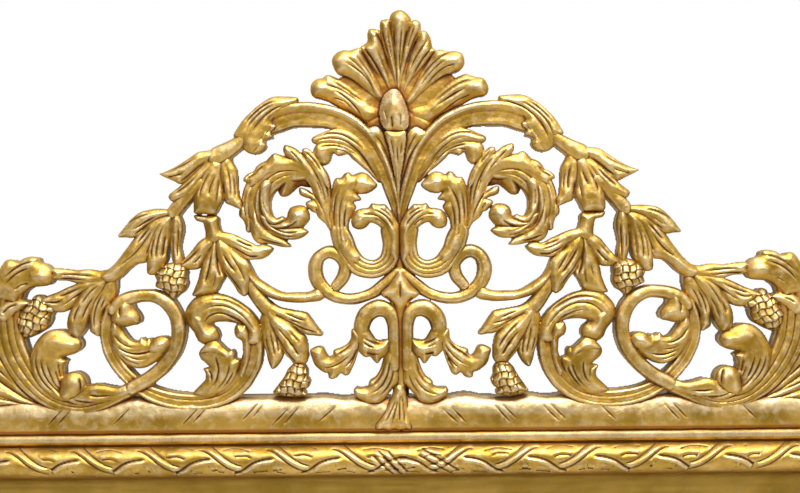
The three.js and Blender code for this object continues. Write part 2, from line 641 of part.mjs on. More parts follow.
const LOWER_CURL = [
  stroke([
    [-17, 154, 10], [-32, 149, 11], [-45, 139, 10], [-48, 124, 9], [-44, 108, 10], [-34, 98, 12],
  ], SCROLL_FRONT),
  stroke([[-17, 148, 6], [-16, 128, 5], [-17, 104, 6]], 32),
  knob(-31, 97, 14),
  stroke([[-50, 110, 9], [-62, 97, 12], [-76, 86, 13], [-90, 82, 12], [-98, 88, 9], [-102, 95, 6]]),
  stroke([[-55, 95, 9], [-66, 84, 12], [-78, 76, 8], [-88, 72, 3]], 34),
  stroke([[-18, 86, 6], [-19, 72, 8], [-27, 56, 12], [-39, 48, 10], [-50, 48, 4], [-55, 49, 2]]),
];

const CONES = {
  cone_upper: [boss([-271, 181], [19, 21], 0, CONE_FRONT)],
  cone_outer: [boss([-440, 132], [23, 26], -20, CONE_FRONT)],
  cone_lower: [boss([-127, 61], [22, 20], 25, CONE_FRONT)],
};

// ---- The base log on the top rail ----------------------------------------------------------------
const LOG_INNER_X = -14;
const LOG_OUTER_X = -560;
const LOG_HEIGHT = 40;
const LOG_STATIONS = 6;
const LOG_TAPER = { from: 0.8, loss: 0.45 }; // over the last fifth the log thins towards its end

/** The log: flat below and behind, rounded above and in front, thinning to its outer end. */
function logSolid() {
  const rings = Array.from({ length: LOG_STATIONS + 1 }, (_, k) => {
    const along = k / LOG_STATIONS;
    const intoTaper = Math.max(0, (along - LOG_TAPER.from) / (1 - LOG_TAPER.from));
    const size = 1 - LOG_TAPER.loss * intoTaper ** 2;
    const [height, front] = [LOG_HEIGHT * size, LOG_FRONT * size];
    const section = [
      [0, LOG_BOTTOM],
      [front * 0.86, LOG_BOTTOM],
      [front * 0.97, height * 0.22],
      [front, height * 0.5],
      [front * 0.93, height * 0.8],
      [front * 0.7, height],
      [0, height * 0.84],
    ];
    const x = LOG_INNER_X + (LOG_OUTER_X - LOG_INNER_X) * along;
    return section.map(([outwards, z]) => [x, CREST_BACK_DEPTH - BACK_DEPTH - outwards, z]);
  });
  return solid(skinRings(rings, { capFaces: fan(7) }));
}

/** The batten that stiffens the crest from behind, standing on the rail. */
function battenGeometry(grow = 0) {
  const depth = CREST_BACK_DEPTH - BACK_DEPTH - GAP;
  const bottom = LOG_BOTTOM;
  const height = BATTEN.top - bottom;
  const box = new THREE.BoxGeometry(2 * (BATTEN.halfWidth + grow), depth + 2 * grow, height + 2 * grow);
  return box.translate(0, GAP + depth / 2, bottom + height / 2);
}

// ---- Placing the crest: each piece is cut by those before it -------------------------------------
const crest = new THREE.Group();
crest.position.set(0, yAt(CREST_BACK_DEPTH), FRAME_HEIGHT);
mirror.add(crest);

const flip = (forms) =>
  forms.map((form) =>
    form.stations
      ? { ...form, stations: form.stations.map(([x, z, half]) => [-x, z, half]) }
      : { ...form, centre: [-form.centre[0], form.centre[1]], tilt: -form.tilt },
  );

const placed = [];

function overlaps(a, b) {
  return [0, 1, 2].every((axis) => a.min[axis] < b.max[axis] && b.min[axis] < a.max[axis]);
}

/** Adds a piece to the crest, cut back from every earlier piece that it would run into. */
function addCarved(name, body, fattened, material = GILDING) {
  const box = body.boundingBox();
  const near = placed.filter((other) => overlaps(box, other.box));
  const cut = near.reduce((left, other) => left.subtract(other.body), body);
  add(name, geometryOf(mainBody(cut)), material, crest);
  placed.push({ body: fattened, box: fattened.boundingBox() });
}

const addForms = (name, forms) => addCarved(name, carve(forms), carve(forms, GAP));

add("crest_batten", battenGeometry(), PINE, crest);
const battenBed = solid(battenGeometry(GAP));
placed.push({ body: battenBed, box: battenBed.boundingBox() });

addForms("center_bud", CENTER_BUD);
addForms("center_stem", CENTER_STEM);
addForms("foot_husk", FOOT_HUSK);
for (const [piece, forms] of [
  ["arch", ARCH],
  ["acanthus_scroll", ACANTHUS_SCROLL],
  ["upper_side_leaf", UPPER_SIDE_LEAF],
  ["inner_loop", INNER_LOOP],
  ["tendril_ring", TENDRIL_RING],
  ["outer_husks", OUTER_HUSKS],
  ["inner_husks", INNER_HUSKS],
  ["ring_scroll", RING_SCROLL],
  ["outer_scroll", OUTER_SCROLL],
  ["tail_leaf", TAIL_LEAF],
  ["lower_curl", LOWER_CURL],
]) {
  addForms(`${piece}_left`, forms);
  addForms(`${piece}_right`, flip(forms));
}
addForms("palmette_finial", PALMETTE);
for (const [piece, forms] of Object.entries(CONES)) {
  addForms(`${piece}_left`, forms);
  addForms(`${piece}_right`, flip(forms));
}
for (const { side, sign } of SIDES) {
  const body = sign < 0 ? logSolid() : logSolid().mirror([1, 0, 0]);
  addCarved(`crest_log_${side}`, body, body, DARK_GILDING);
}

// ---- Iron straps that tie the log to the rail, on their backs ------------------------------------
for (const { side, sign } of SIDES) {
  const { width, thickness, below, above, place } = STRAP;
  const plate = new THREE.BoxGeometry(width, thickness, below + above);
  const strap = add(`crest_strap_${side}`, plate, DARK_IRON);
  const y = yAt(BACK_DEPTH - GAP - thickness / 2);
  strap.position.set(sign * place, y, FRAME_HEIGHT + (above - below) / 2);
}

export default mirror;
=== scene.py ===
"""Looks of a tall giltwood wall mirror with a pierced and carved acanthus crest.

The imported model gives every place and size. Sizes in the tables are millimetres, and meshes are
made in metres. The crest is carved as one height map, whose cells are shared out among its pieces.
"""

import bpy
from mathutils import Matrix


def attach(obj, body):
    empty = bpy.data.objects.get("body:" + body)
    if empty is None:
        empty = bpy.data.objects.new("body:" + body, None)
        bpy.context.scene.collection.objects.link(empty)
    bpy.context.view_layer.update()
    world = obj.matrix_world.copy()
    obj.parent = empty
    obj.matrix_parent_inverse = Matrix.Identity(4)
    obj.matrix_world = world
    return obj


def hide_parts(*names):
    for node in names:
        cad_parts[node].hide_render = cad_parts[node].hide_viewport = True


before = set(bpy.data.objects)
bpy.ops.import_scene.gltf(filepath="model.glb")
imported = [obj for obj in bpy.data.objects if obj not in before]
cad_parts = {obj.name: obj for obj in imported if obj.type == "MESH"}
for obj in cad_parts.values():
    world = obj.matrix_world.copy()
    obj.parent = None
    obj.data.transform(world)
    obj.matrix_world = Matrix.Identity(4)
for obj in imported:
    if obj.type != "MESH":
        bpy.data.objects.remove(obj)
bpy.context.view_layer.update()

import logging
import math
from dataclasses import dataclass, field, replace
from enum import Enum
from typing import Iterator, Sequence

import bpy
import numpy as np
from mathutils import Vector

log = logging.getLogger("mirror")

# ---- Driving sizes, in millimetres ----------------------------------------------------------
MM = 0.001  # a millimetre in metres
FRAME_WIDTH = 1200.0
FRAME_HEIGHT = 1500.0
WALL_Y = 45.0
BACK_DEPTH = 10.0
CREST_BACK_DEPTH = 38.0
MITRE_GAP = 0.3

EDGE_RADIUS = 1.6  # rounding of the carving's outline
EDGE_DROP = 2.2
OUTLINE_WAVE = (14.0, 0.45)  # the outline's unevenness: length and height
FACETS = ((16.0, 0.45), (7.0, 0.3), (3.2, 0.12))  # the gouge's facets: size and height
CROWN_SPREAD = 1.5  # how much broader and deeper a blade's crown is than its own bevel
CROWN_DEPTH = 1.3
CUT_DEPTH = 3.36
CUT_REACH = 8.0  # how far a cut is felt beside it
STROKE_STEP = 1.2  # between the points of a stroke's line, a blade's outline and a cut
BLADE_STEP = 2.0
CUT_STEP = 2.5
THINNEST = 0.8  # least half width of a stroke
CROWN_LIMIT = 14.0  # half width above which a stroke's crown falls no deeper
GROOVE_SHARE = 0.8  # how much of a groove's depth is cut, in full from this half width
GROOVE_WIDTH = 6.0
RIM_WIDTH = 10.0  # half width from which a rim stands in full
SLIM_WIDTH = 9.0  # a stroke whose half width is less lies lower, by up to its sink
SLIM_SINK = 7.0

# The corners of every cell, as slices of the grid of points.
CORNERS = tuple((r, c) for r in (slice(0, -1), slice(1, None)) for c in (slice(0, -1), slice(1, None)))

Station = tuple[float, float, float]
Point = tuple[float, float]
Colour = tuple[float, float, float]
Window = tuple[slice, slice]
Array = np.ndarray
Material = bpy.types.Material
Socket = bpy.types.NodeSocket


# ---- Shader graph helpers -------------------------------------------------------------------
class Shade:
    """One output of a shader node, with Python's operators as Math nodes."""

    def __init__(self, graph: "Graph", socket: Socket) -> None:
        """Wraps a socket of a graph."""
        self.graph = graph
        self.socket = socket

    def _math(self, operation: str, first: object, second: object = 0.0) -> "Shade":
        """Adds a Math node and returns its output."""
        node = self.graph.node("ShaderNodeMath", {"operation": operation}, {0: first, 1: second})
        return Shade(self.graph, node.outputs[0])

    def __add__(self, other: object) -> "Shade":
        """self + other."""
        return self._math("ADD", self, other)

    def __radd__(self, other: object) -> "Shade":
        """other + self."""
        return self._math("ADD", other, self)

    def __sub__(self, other: object) -> "Shade":
        """self - other."""
        return self._math("SUBTRACT", self, other)

    def __rsub__(self, other: object) -> "Shade":
        """other - self."""
        return self._math("SUBTRACT", other, self)

    def __mul__(self, other: object) -> "Shade":
        """self * other."""
        return self._math("MULTIPLY", self, other)

    def __rmul__(self, other: object) -> "Shade":
        """other * self."""
        return self._math("MULTIPLY", other, self)

    def larger(self, other: object) -> "Shade":
        """The larger of the two."""
        return self._math("MAXIMUM", self, other)

    def smaller(self, other: object) -> "Shade":
        """The smaller of the two."""
        return self._math("MINIMUM", self, other)

    def distance(self, other: object) -> "Shade":
        """The absolute difference."""
        return self._math("ABSOLUTE", self - other)

    def step(self, low: float, high: float) -> "Shade":
        """A smooth step from 0 at low to 1 at high."""
        settings, inputs = {"interpolation_type": "SMOOTHSTEP"}, {0: self, 1: low, 2: high}
        return Shade(self.graph, self.graph.node("ShaderNodeMapRange", settings, inputs).outputs[0])


class Graph:
    """A node tree under construction."""

    def __init__(self, tree: bpy.types.NodeTree) -> None:
        """Starts from an empty tree."""
        self.tree = tree
        self.tree.nodes.clear()

    def node(
        self,
        kind: str,
        settings: dict[str, object] | None = None,
        inputs: dict[int | str, object] | None = None,
    ) -> bpy.types.Node:
        """Adds a node.

        Args:
            kind: the node's type name.
            settings: its own settings, set before its sockets; "stops" fills a colour ramp.
            inputs: values or links of its sockets, by name or number.

        Returns:
            The new node.
        """
        made = self.tree.nodes.new(kind)
        for key, value in (settings or {}).items():
            if key == "stops":
                self._fill_ramp(made.color_ramp, value)
            else:
                setattr(made, key, value)
        for key, value in (inputs or {}).items():
            self.feed(made.inputs[key], value)
        return made

    def feed(self, socket: Socket, value: object) -> None:
        """Links a socket, or sets its value.

        Args:
            socket: the input socket.
            value: an output or a Shade to link, or a number, vector or colour.
        """
        if isinstance(value, Shade):
            value = value.socket
        if isinstance(value, Socket):
            self.tree.links.new(value, socket)
        else:
            socket.default_value = (*value, 1.0) if socket.type == "RGBA" else value

    @staticmethod
    def _fill_ramp(ramp: bpy.types.ColorRamp, stops: Sequence[tuple[float, Colour]]) -> None:
        """Sets a colour ramp's stops.

        Args:
            ramp: the colour ramp.
            stops: the place and colour of each stop, in order.
        """
        while len(ramp.elements) < len(stops):
            ramp.elements.new(0.5)
        for element, (place, colour) in zip(ramp.elements, stops):
            element.position = place
            element.color = (*colour, 1.0)

    def place(self) -> Socket:
        """The point on the object, in metres."""
        return self.node("ShaderNodeTexCoord").outputs["Object"]

    def axis(self, vector: object, name: str) -> Shade:
        """One coordinate of a vector."""
        return Shade(self, self.node("ShaderNodeSeparateXYZ", None, {0: vector}).outputs[name])

    def painted(self, name: str) -> Shade:
        """A number stored on the mesh's points."""
        node = self.node("ShaderNodeAttribute", {"attribute_name": name, "attribute_type": "GEOMETRY"})
        return Shade(self, node.outputs["Fac"])

    def stretched(self, vector: object, scale: tuple[float, float, float]) -> Socket:
        """A vector times a fixed scale on each axis."""
        node = self.node("ShaderNodeVectorMath", {"operation": "MULTIPLY"}, {0: vector, 1: scale})
        return node.outputs[0]

    def noise(
        self, vector: object, grain: float, detail: float = 2.0, rough: float = 0.5, bend: float = 0.0
    ) -> Shade:
        """Cloudy noise.

        Args:
            vector: where it is read.
            grain: the size of its blotches, in metres.
            detail: how many finer layers it has.
            rough: how strong the finer layers are.
            bend: how much it is distorted.

        Returns:
            The noise, mostly between 0.3 and 0.7.
        """
        inputs = {"Vector": vector, "Scale": 1.0 / grain, "Detail": detail, "Roughness": rough}
        node = self.node("ShaderNodeTexNoise", None, {**inputs, "Distortion": bend})
        return Shade(self, node.outputs[0])

    def mix(self, share: object, first: object, second: object) -> Socket:
        """Mixes two colours by a share of the second."""
        node = self.node("ShaderNodeMix", {"data_type": "RGBA"}, {0: share, 6: first, 7: second})
        return node.outputs[2]

    def bump(self, height: object, distance: float, strength: float) -> Socket:
        """A bumped normal from a height."""
        inputs = {"Strength": strength, "Distance": distance, "Height": height}
        return self.node("ShaderNodeBump", None, inputs).outputs[0]


class Recipe(Graph):
    """A material under construction: one Principled surface and the nodes that feed it."""

    def __init__(self, name: str) -> None:
        """Starts a material with a bare Principled surface.

        Args:
            name: the material's name.
        """
        self.material = bpy.data.materials.new(name)
        self.material.use_nodes = True
        super().__init__(self.material.node_tree)
        self.surface = self.node("ShaderNodeBsdfPrincipled")
        self.node("ShaderNodeOutputMaterial", None, {"Surface": self.surface.outputs[0]})

    def finish(self, **inputs: object) -> Material:
        """Feeds the surface.

        Args:
            inputs: the Principled sockets, by name with underscores for spaces.

        Returns:
            The finished material.
        """
        for key, value in inputs.items():
            self.feed(self.surface.inputs[key.replace("_", " ")], value)
        return self.material


def tone(code: str) -> Colour:
    """A linear colour from a screen colour in hexadecimal."""
    shares = [int(code[k : k + 2], 16) / 255 for k in (0, 2, 4)]
    return tuple(s / 12.92 if s <= 0.04045 else ((s + 0.055) / 1.055) ** 2.4 for s in shares)


# ---- Finishes -------------------------------------------------------------------------------
@dataclass(frozen=True)
class WaterGilding:
    """Gold leaf over warm bole on carved wood, rubbed on high points, soiled and with painted shade in the
    cuts, painted shade in the hollows and painted highlights on convex places.
    """

    name: str = "gold_leaf"
    leaf: Colour = tone("d0ab56")
    # pale: random paler leaf, and also the painted highlight on convex places
    pale: Colour = tone("f4e6c6")
    olive: Colour = tone("a28026")
    # bole: shows where the leaf is rubbed through, and is also the colour of the painted shade in the hollows
    bole: Colour = tone("9c5c10")
    # the dark brown of the creases: soiling and painted shade together
    grime_and_shade: Colour = tone("402000")
    shade: Colour = tone("7d6320")
    # timber: bare wood on the walls and back, and also painted shade in the piercings
    timber: Colour = tone("5a3d1e")

    def material(self) -> Material:
        """Builds the material.

        Returns:
            The gilding.
        """
        recipe = Recipe(self.name)
        place = recipe.place()
        cloud = recipe.noise(place, 0.045, 3.0, 0.55)
        mottle = recipe.noise(place, 0.011, 4.0, 0.6, 0.3)
        speck = recipe.noise(place, 0.0022, 3.0, 0.7)
        crease = recipe.painted("crease")
        hollow = recipe.painted("hollow")
        ridge = recipe.painted("ridge")
        side = recipe.painted("side")
        cove_shade = recipe.painted("cove_shade")

        colour = recipe.mix(cloud.step(0.3, 0.74), self.leaf, self.olive)
        colour = recipe.mix(mottle.step(0.45, 0.75) * 0.3 * (1.0 - cove_shade), colour, self.pale)
        # Painted highlight: pale gold on convex places, on the rail's bead and on the log's upper half.
        colour = recipe.mix((ridge * 0.8 + (mottle - 0.5) * 0.6).step(0.15, 0.85) * 0.6, colour, self.pale)
        # Painted shade: the broad hollow under the roll is painted dark olive.
        colour = recipe.mix(cove_shade * 0.85, colour, self.shade)
        # Painted shade: the hollows, the quirks and the log's foot are painted in the warm bole colour.
        hollow_shade = (hollow * 1.2 + (mottle - 0.5) * 0.6).step(0.06, 0.66)
        colour = recipe.mix(hollow_shade * 0.85, colour, self.bole)
        rubbed = (ridge + (speck - 0.5) * 1.3).step(0.85, 1.25)
        colour = recipe.mix(rubbed * 0.6, colour, self.bole)
        # Soiling and painted shade: the creases and cuts are painted dark brown, partly soiling, partly the
        # shade that falls in them.
        dirt_and_shade = (crease + (speck - 0.5) * 0.4 + (mottle - 0.5) * 0.35).step(0.14, 0.66)
        colour = recipe.mix(dirt_and_shade * 0.88, colour, self.grime_and_shade)
        # Bare timber and painted shade: the walls and the back are painted dark brown wood, more so towards
        # the back, partly the wood's own colour and partly painted shade in the piercings.
        bare = (side + (mottle - 0.5) * 0.9 + (speck - 0.5) * 0.3).step(0.5, 1.1)
        colour = recipe.mix(bare * 0.75, colour, self.timber)
        covered = 1.0 - (dirt_and_shade * 0.75).larger(bare * 0.85).larger(hollow_shade * 0.3)
        roughness = 0.46 + (mottle - 0.5) * 0.22 + (1.0 - covered) * 0.32 + (speck - 0.5) * 0.08
        relief = mottle * 0.6 + speck * 0.4
        return recipe.finish(
            Base_Color=colour,
            Metallic=covered,
            Roughness=roughness,
            Normal=recipe.bump(relief, 0.0012, 0.7),
            Coat_Weight=0.12,
            Coat_Roughness=0.4,
        )


@dataclass(frozen=True)
class BareTimber:
    """Old softwood, seen on the backs: grain along one axis, saw marks and age."""

    name: str = "old_pine"
    pale: Colour = tone("b08a58")
    dark: Colour = tone("8a6438")
    stain: Colour = tone("3f2a17")
    grain_axis: int = 2

    def material(self) -> Material:
        """Builds the material.

        Returns:
            The timber.
        """
        recipe = Recipe(self.name)
        place = recipe.place()
        across = tuple(0.045 if k == self.grain_axis else 1.0 for k in range(3))
        run = recipe.stretched(place, across)
        rings = recipe.noise(run, 0.007, 3.0, 0.6, 0.5)
        fibre = recipe.noise(run, 0.0016, 2.0, 0.6)
        cloud = recipe.noise(place, 0.16, 3.0, 0.5)
        colour = recipe.mix(rings.step(0.3, 0.74), self.pale, self.dark)
        colour = recipe.mix(fibre.step(0.52, 0.8) * 0.5, colour, self.dark)
        colour = recipe.mix(cloud.step(0.45, 0.8) * 0.35, colour, self.stain)
        relief = rings * 0.4 + fibre * 0.6
        return recipe.finish(
            Base_Color=colour,
            Roughness=0.72 + (fibre - 0.5) * 0.25,
            Normal=recipe.bump(relief, 0.0006, 0.6),
        )


@dataclass(frozen=True)
class SilveredGlass:
    """A mirror plate: bright silver with soft foxing that gathers at its edges."""

    name: str = "silvered_glass"
    silver: Colour = tone("e2e6e6")
    fox: Colour = tone("6a5a44")
    half_width: float = 0.504
    half_height: float = 0.654
    middle: float = 0.75

    def material(self) -> Material:
        """Builds the material.

        Returns:
            The mirror glass.
        """
        recipe = Recipe(self.name)
        place = recipe.place()
        x_edge = self.half_width - recipe.axis(place, "X").distance(0.0)
        z_edge = self.half_height - recipe.axis(place, "Z").distance(self.middle)
        edge = x_edge.smaller(z_edge)
        blotch = recipe.noise(place, 0.03, 5.0, 0.65, 0.4)
        speck = recipe.noise(place, 0.004, 2.0, 0.5)
        rim = 1.0 - (edge + (blotch - 0.5) * 0.06).step(0.0, 0.03)
        spots = (speck + (blotch - 0.5) * 0.9).step(0.86, 0.95)
        fox = rim.larger(spots * 0.7)
        colour = recipe.mix(fox * 0.75, self.silver, self.fox)
        haze = recipe.noise(place, 0.25, 2.0, 0.5)
        return recipe.finish(
            Base_Color=colour,
            Metallic=1.0 - fox * 0.6,
            Roughness=0.015 + fox * 0.35 + haze.step(0.55, 0.8) * 0.02,
        )


@dataclass(frozen=True)
class ForgedIron:
    """Dark iron with brown rust blooms and hammer marks."""

    name: str = "dark_iron"
    metal: Colour = tone("45413c")
    rust: Colour = tone("5b3a20")

    def material(self) -> Material:
        """Builds the material.

        Returns:
            The iron.
        """
        recipe = Recipe(self.name)
        place = recipe.place()
        bloom = recipe.noise(place, 0.014, 5.0, 0.65, 0.3)
        grit = recipe.noise(place, 0.0015, 3.0, 0.6)
        rust = (bloom + (grit - 0.5) * 0.3).step(0.5, 0.68)
        return recipe.finish(
            Base_Color=recipe.mix(rust, self.metal, self.rust),
            Metallic=0.9 - rust * 0.75,
            Roughness=0.42 + rust * 0.38 + (grit - 0.5) * 0.15,
            Normal=recipe.bump(bloom * 0.5 + grit * 0.5, 0.0005, 0.6),
        )


@dataclass(frozen=True)
class AgedBrass:
    """Yellow brass, browned by age and bright where it rubs."""

    name: str = "aged_brass"
    metal: Colour = tone("b8913f")
    patina: Colour = tone("5d4522")

    def material(self) -> Material:
        """Builds the material.

        Returns:
            The brass.
        """
        recipe = Recipe(self.name)
        place = recipe.place()
        cloud = recipe.noise(place, 0.006, 4.0, 0.6, 0.2)
        grain = recipe.noise(recipe.stretched(place, (1.0, 1.0, 0.15)), 0.0006, 2.0, 0.5)
        aged = cloud.step(0.45, 0.68)
        return recipe.finish(
            Base_Color=recipe.mix(aged * 0.8, self.metal, self.patina),
            Metallic=1.0 - aged * 0.25,
            Roughness=0.26 + aged * 0.28 + (grain - 0.5) * 0.16,
            Normal=recipe.bump(grain, 0.0002, 0.5),
        )


@dataclass(frozen=True)
class WoolFelt:
    """Thick green felt, matted and fuzzy."""

    name: str = "wool_felt"
    wool: Colour = tone("3c4b39")
    fuzz: Colour = tone("6d7a63")

    def material(self) -> Material:
        """Builds the material.

        Returns:
            The felt.
        """
        recipe = Recipe(self.name)
        place = recipe.place()
        fibre = recipe.noise(place, 0.0009, 4.0, 0.75, 1.2)
        mat = recipe.noise(place, 0.005, 3.0, 0.6)
        share = (fibre * 0.7 + mat * 0.3).step(0.42, 0.66)
        return recipe.finish(
            Base_Color=recipe.mix(share, self.wool, self.fuzz),
            Roughness=0.9 + (fibre - 0.5) * 0.15,
            Normal=recipe.bump(fibre, 0.0006, 0.9),
        )


@dataclass(frozen=True)
class Finishes:
    """All materials of the mirror, made once."""

    gilding: Material
    moulding: Material
    timber: Material
    boards: Material
    glass: Material
    iron: Material
    brass: Material
    felt: Material

    @classmethod
    def make(cls) -> "Finishes":
        """Builds every material.

        Returns:
            The finishes.
        """
        return cls(
            gilding=WaterGilding().material(),
            moulding=WaterGilding(name="gold_leaf_moulding").material(),
            timber=BareTimber(name="carved_back", grain_axis=0).material(),
            boards=BareTimber().material(),
            glass=SilveredGlass().material(),
            iron=ForgedIron().material(),
            brass=AgedBrass().material(),
            felt=WoolFelt().material(),
        )


# ---- Meshes ---------------------------------------------------------------------------------
def mesh_object(
    name: str,
    points: Array,
    quads: Array,
    materials: Sequence[Material],
    slots: Array | None = None,
    paint: dict[str, Array] | None = None,
    extra: Sequence[Sequence[int]] = (),
    sharp: float = 50.0,
) -> bpy.types.Object:
    """Makes a smooth-shaded mesh object.

    Args:
        name: the object's name.
        points: its points in metres, n x 3.
        quads: its four-sided faces, m x 4.
        materials: its materials.
        slots: the material number of each quad; all 0 if left out.
        paint: numbers for each point, by attribute name.
        extra: further faces with any number of corners, which take the last material.
        sharp: edges that turn by more than this many degrees stay sharp.

    Returns:
        The object, linked to the scene.
    """
    mesh = bpy.data.meshes.new(name)
    corners = [quads.ravel()] + [np.array(face) for face in extra]
    sizes = np.concatenate([np.full(len(quads), 4), [len(face) for face in extra]]).astype(np.int32)
    mesh.vertices.add(len(points))
    mesh.vertices.foreach_set("co", np.ascontiguousarray(points, np.float32).ravel())
    mesh.loops.add(int(sizes.sum()))
    mesh.loops.foreach_set("vertex_index", np.concatenate(corners).astype(np.int32))
    mesh.polygons.add(len(sizes))
    starts = np.concatenate([[0], np.cumsum(sizes)[:-1]]).astype(np.int32)
    mesh.polygons.foreach_set("loop_start", starts)
    for material in materials:
        mesh.materials.append(material)
    if slots is not None:
        numbers = np.concatenate([slots, np.full(len(extra), len(materials) - 1)]).astype(np.int32)
        mesh.polygons.foreach_set("material_index", numbers)
    mesh.update(calc_edges=True)
    for key, values in (paint or {}).items():
        layer = mesh.attributes.new(key, "FLOAT", "POINT")
        layer.data.foreach_set("value", np.ascontiguousarray(values, np.float32))
    mesh.shade_smooth()
    mesh.set_sharp_from_angle(angle=math.radians(sharp))
    made = bpy.data.objects.new(name, mesh)
    bpy.context.scene.collection.objects.link(made)
    return made


def soften(values: Array, weight: Array, reach: float) -> Array:
    """Blurs an array where its weight is set.

    Args:
        values: the array.
        weight: 1 where a value counts, else 0.
        reach: the blur's standard deviation, in cells.

    Returns:
        The blurred array.
    """
    total, share = values * weight, weight.astype(float)
    for _ in range(max(1, round(2 * reach * reach))):
        for turned in (0, 1):
            pair = []
            for array in (total, share):
                grown = np.pad(array, [(1, 1) if k == turned else (0, 0) for k in (0, 1)], mode="edge")
                ahead = grown[2:, :] if turned == 0 else grown[:, 2:]
                behind = grown[:-2, :] if turned == 0 else grown[:, :-2]
                pair.append(0.25 * ahead + 0.5 * array + 0.25 * behind)
            total, share = pair
    return total / np.maximum(share, 1e-6)


def smooth_noise(shape: tuple[int, int], cells: tuple[float, float], seed: int) -> Array:
    """Soft random hills between -1 and 1.

    Args:
        shape: the array's rows and columns.
        cells: rows and columns from one hill to the next.
        seed: the random seed.

    Returns:
        The array.
    """
    rng = np.random.default_rng(seed)
    coarse = rng.uniform(-1.0, 1.0, [int(size / cell) + 3 for size, cell in zip(shape, cells)])
    for turned in (0, 1):
        places = np.arange(shape[turned]) / cells[turned]
        base = places.astype(int)
        share = places - base
        share = share * share * (3.0 - 2.0 * share)
        low, high = coarse.take(base, turned), coarse.take(base + 1, turned)
        share = share[:, None] if turned == 0 else share[None, :]
        coarse = low * (1.0 - share) + high * share
    return coarse


def unit(values: Array) -> Array:
    """The values held between 0 and 1."""
    return np.clip(values, 0.0, 1.0)


def ramp(values: Array, low: float, high: float) -> Array:
    """A smooth step from 0 at low to 1 at high."""
    share = unit((values - low) / (high - low))
    return share * share * (3.0 - 2.0 * share)


def beside(x: Array, z: Array, a: Array, b: Array) -> tuple[Array, ...]:
    """Where points lie beside a straight piece of a line.

    Args:
        x: the points' first coordinates.
        z: their second coordinates.
        a: the piece's start.
        b: its end.

    Returns:
        Their place along it from 0 to 1, their distance from it, and 1 or -1 for their side.
    """
    run = b - a
    dx, dz = x - a[0], z - a[1]
    share = unit((dx * run[0] + dz * run[1]) / max(float(run @ run), 1e-9))
    dx, dz = dx - share * run[0], dz - share * run[1]
    return share, np.hypot(dx, dz), np.sign(dz * run[0] - dx * run[1])


# ---- Forms of the carving -------------------------------------------------------------------
@dataclass(frozen=True)
class Groove:
    """A gouge cut along a stroke."""

    place: float  # across the stroke, from -1 to 1
    start: float  # along the stroke, from 0 to 1
    end: float
    depth: float
    width: float = 1.5


@dataclass(frozen=True)
class Section:
    """How a stroke is shaped across its width."""

    crown: float  # drop at the edges as a share of the half width
    shoulder: float  # width of the rounded edge
    drop: float  # depth of the rounded edge
    rim: float = 0.0  # depth of the hollow inside a raised outer rim
    grooves: tuple[Groove, ...] = ()


class Cut(Enum):
    """The carver's ways of shaping a stroke."""

    BAND = Section(0.2, 4.0, 4.0, 2.6, (Groove(-0.42, 0.03, 0.97, 2.2), Groove(0.3, 0.05, 0.9, 1.8)))
    FLUTED = Section(
        0.2, 4.0, 4.0, 0.0,
        (Groove(-0.5, 0.03, 0.95, 2.3), Groove(0.0, 0.02, 0.97, 2.6), Groove(0.48, 0.03, 0.92, 2.3)),
    )
    RIM = Section(0.1, 4.0, 3.5, 4.2, (Groove(-0.35, 0.02, 0.98, 0.8),))
    STEM = Section(0.45, 4.0, 3.0)
    RIDGE = Section(0.6, 3.0, 3.0)


@dataclass(frozen=True)
class Stroke:
    """A carved form that follows stations of (x, z, half width)."""

    cut: Cut
    front: float
    stations: tuple[Station, ...]
    grooves: tuple[Groove, ...]


@dataclass(frozen=True)
class Blade:
    """A leaf form inside a closed outline, crowned at its edges and cut by a gouge."""

    front: float
    outline: tuple[Point, ...]
    cuts: tuple[tuple[Point, ...], ...] = ()
    base: Station | None = None  # (x, z) where it springs from, and how much deeper it lies there
    bevel: float = 6.0  # width of the crowned edge
    drop: float = 5.0  # fall of the crowned edge
    scales: float = 0.0  # size of a cone's scales


def groups(text: str, size: int = 2) -> tuple[tuple[float, ...], ...]:
    """The numbers in a text, in groups of a size: x z, or x z and half width."""
    values = [float(number) for number in text.split()]
    return tuple(zip(*[iter(values)] * size))


def stroke(cut: Cut, front: float, stations: str, *grooves: Groove) -> Stroke:
    """A stroke through its stations, with the grooves of its cut if it has none of its own."""
    return Stroke(cut, front, groups(stations, 3), grooves or cut.value.grooves)


def blade(front: float, lines: str, **sizes: object) -> Blade:
    """A blade from the points of its outline and, each after a slash, of its cuts."""
    outline, *cuts = map(groups, lines.split("/"))
    return Blade(front, outline, tuple(cuts), **sizes)


def mirrored(form: Stroke | Blade) -> Stroke | Blade:
    """The same form on the other side of the middle.

    Args:
        form: the form.

    Returns:
        Its mirror image.
    """

    def flip(places: Sequence[tuple[float, ...]]) -> tuple[tuple[float, ...], ...]:
        """Places with x on the other side."""
        return tuple((-x, *rest) for x, *rest in places)

    if isinstance(form, Stroke):
        return replace(form, stations=flip(form.stations))
    base = form.base and flip([form.base])[0]
    return replace(form, outline=flip(form.outline), cuts=tuple(map(flip, form.cuts)), base=base)


# ---- What each carved piece is made of: in the middle, and left of it ---------------------------
SINGLE_PIECES: dict[str, list[Stroke | Blade]] = {}
PAIRED_PIECES: dict[str, list[Stroke | Blade]] = {}

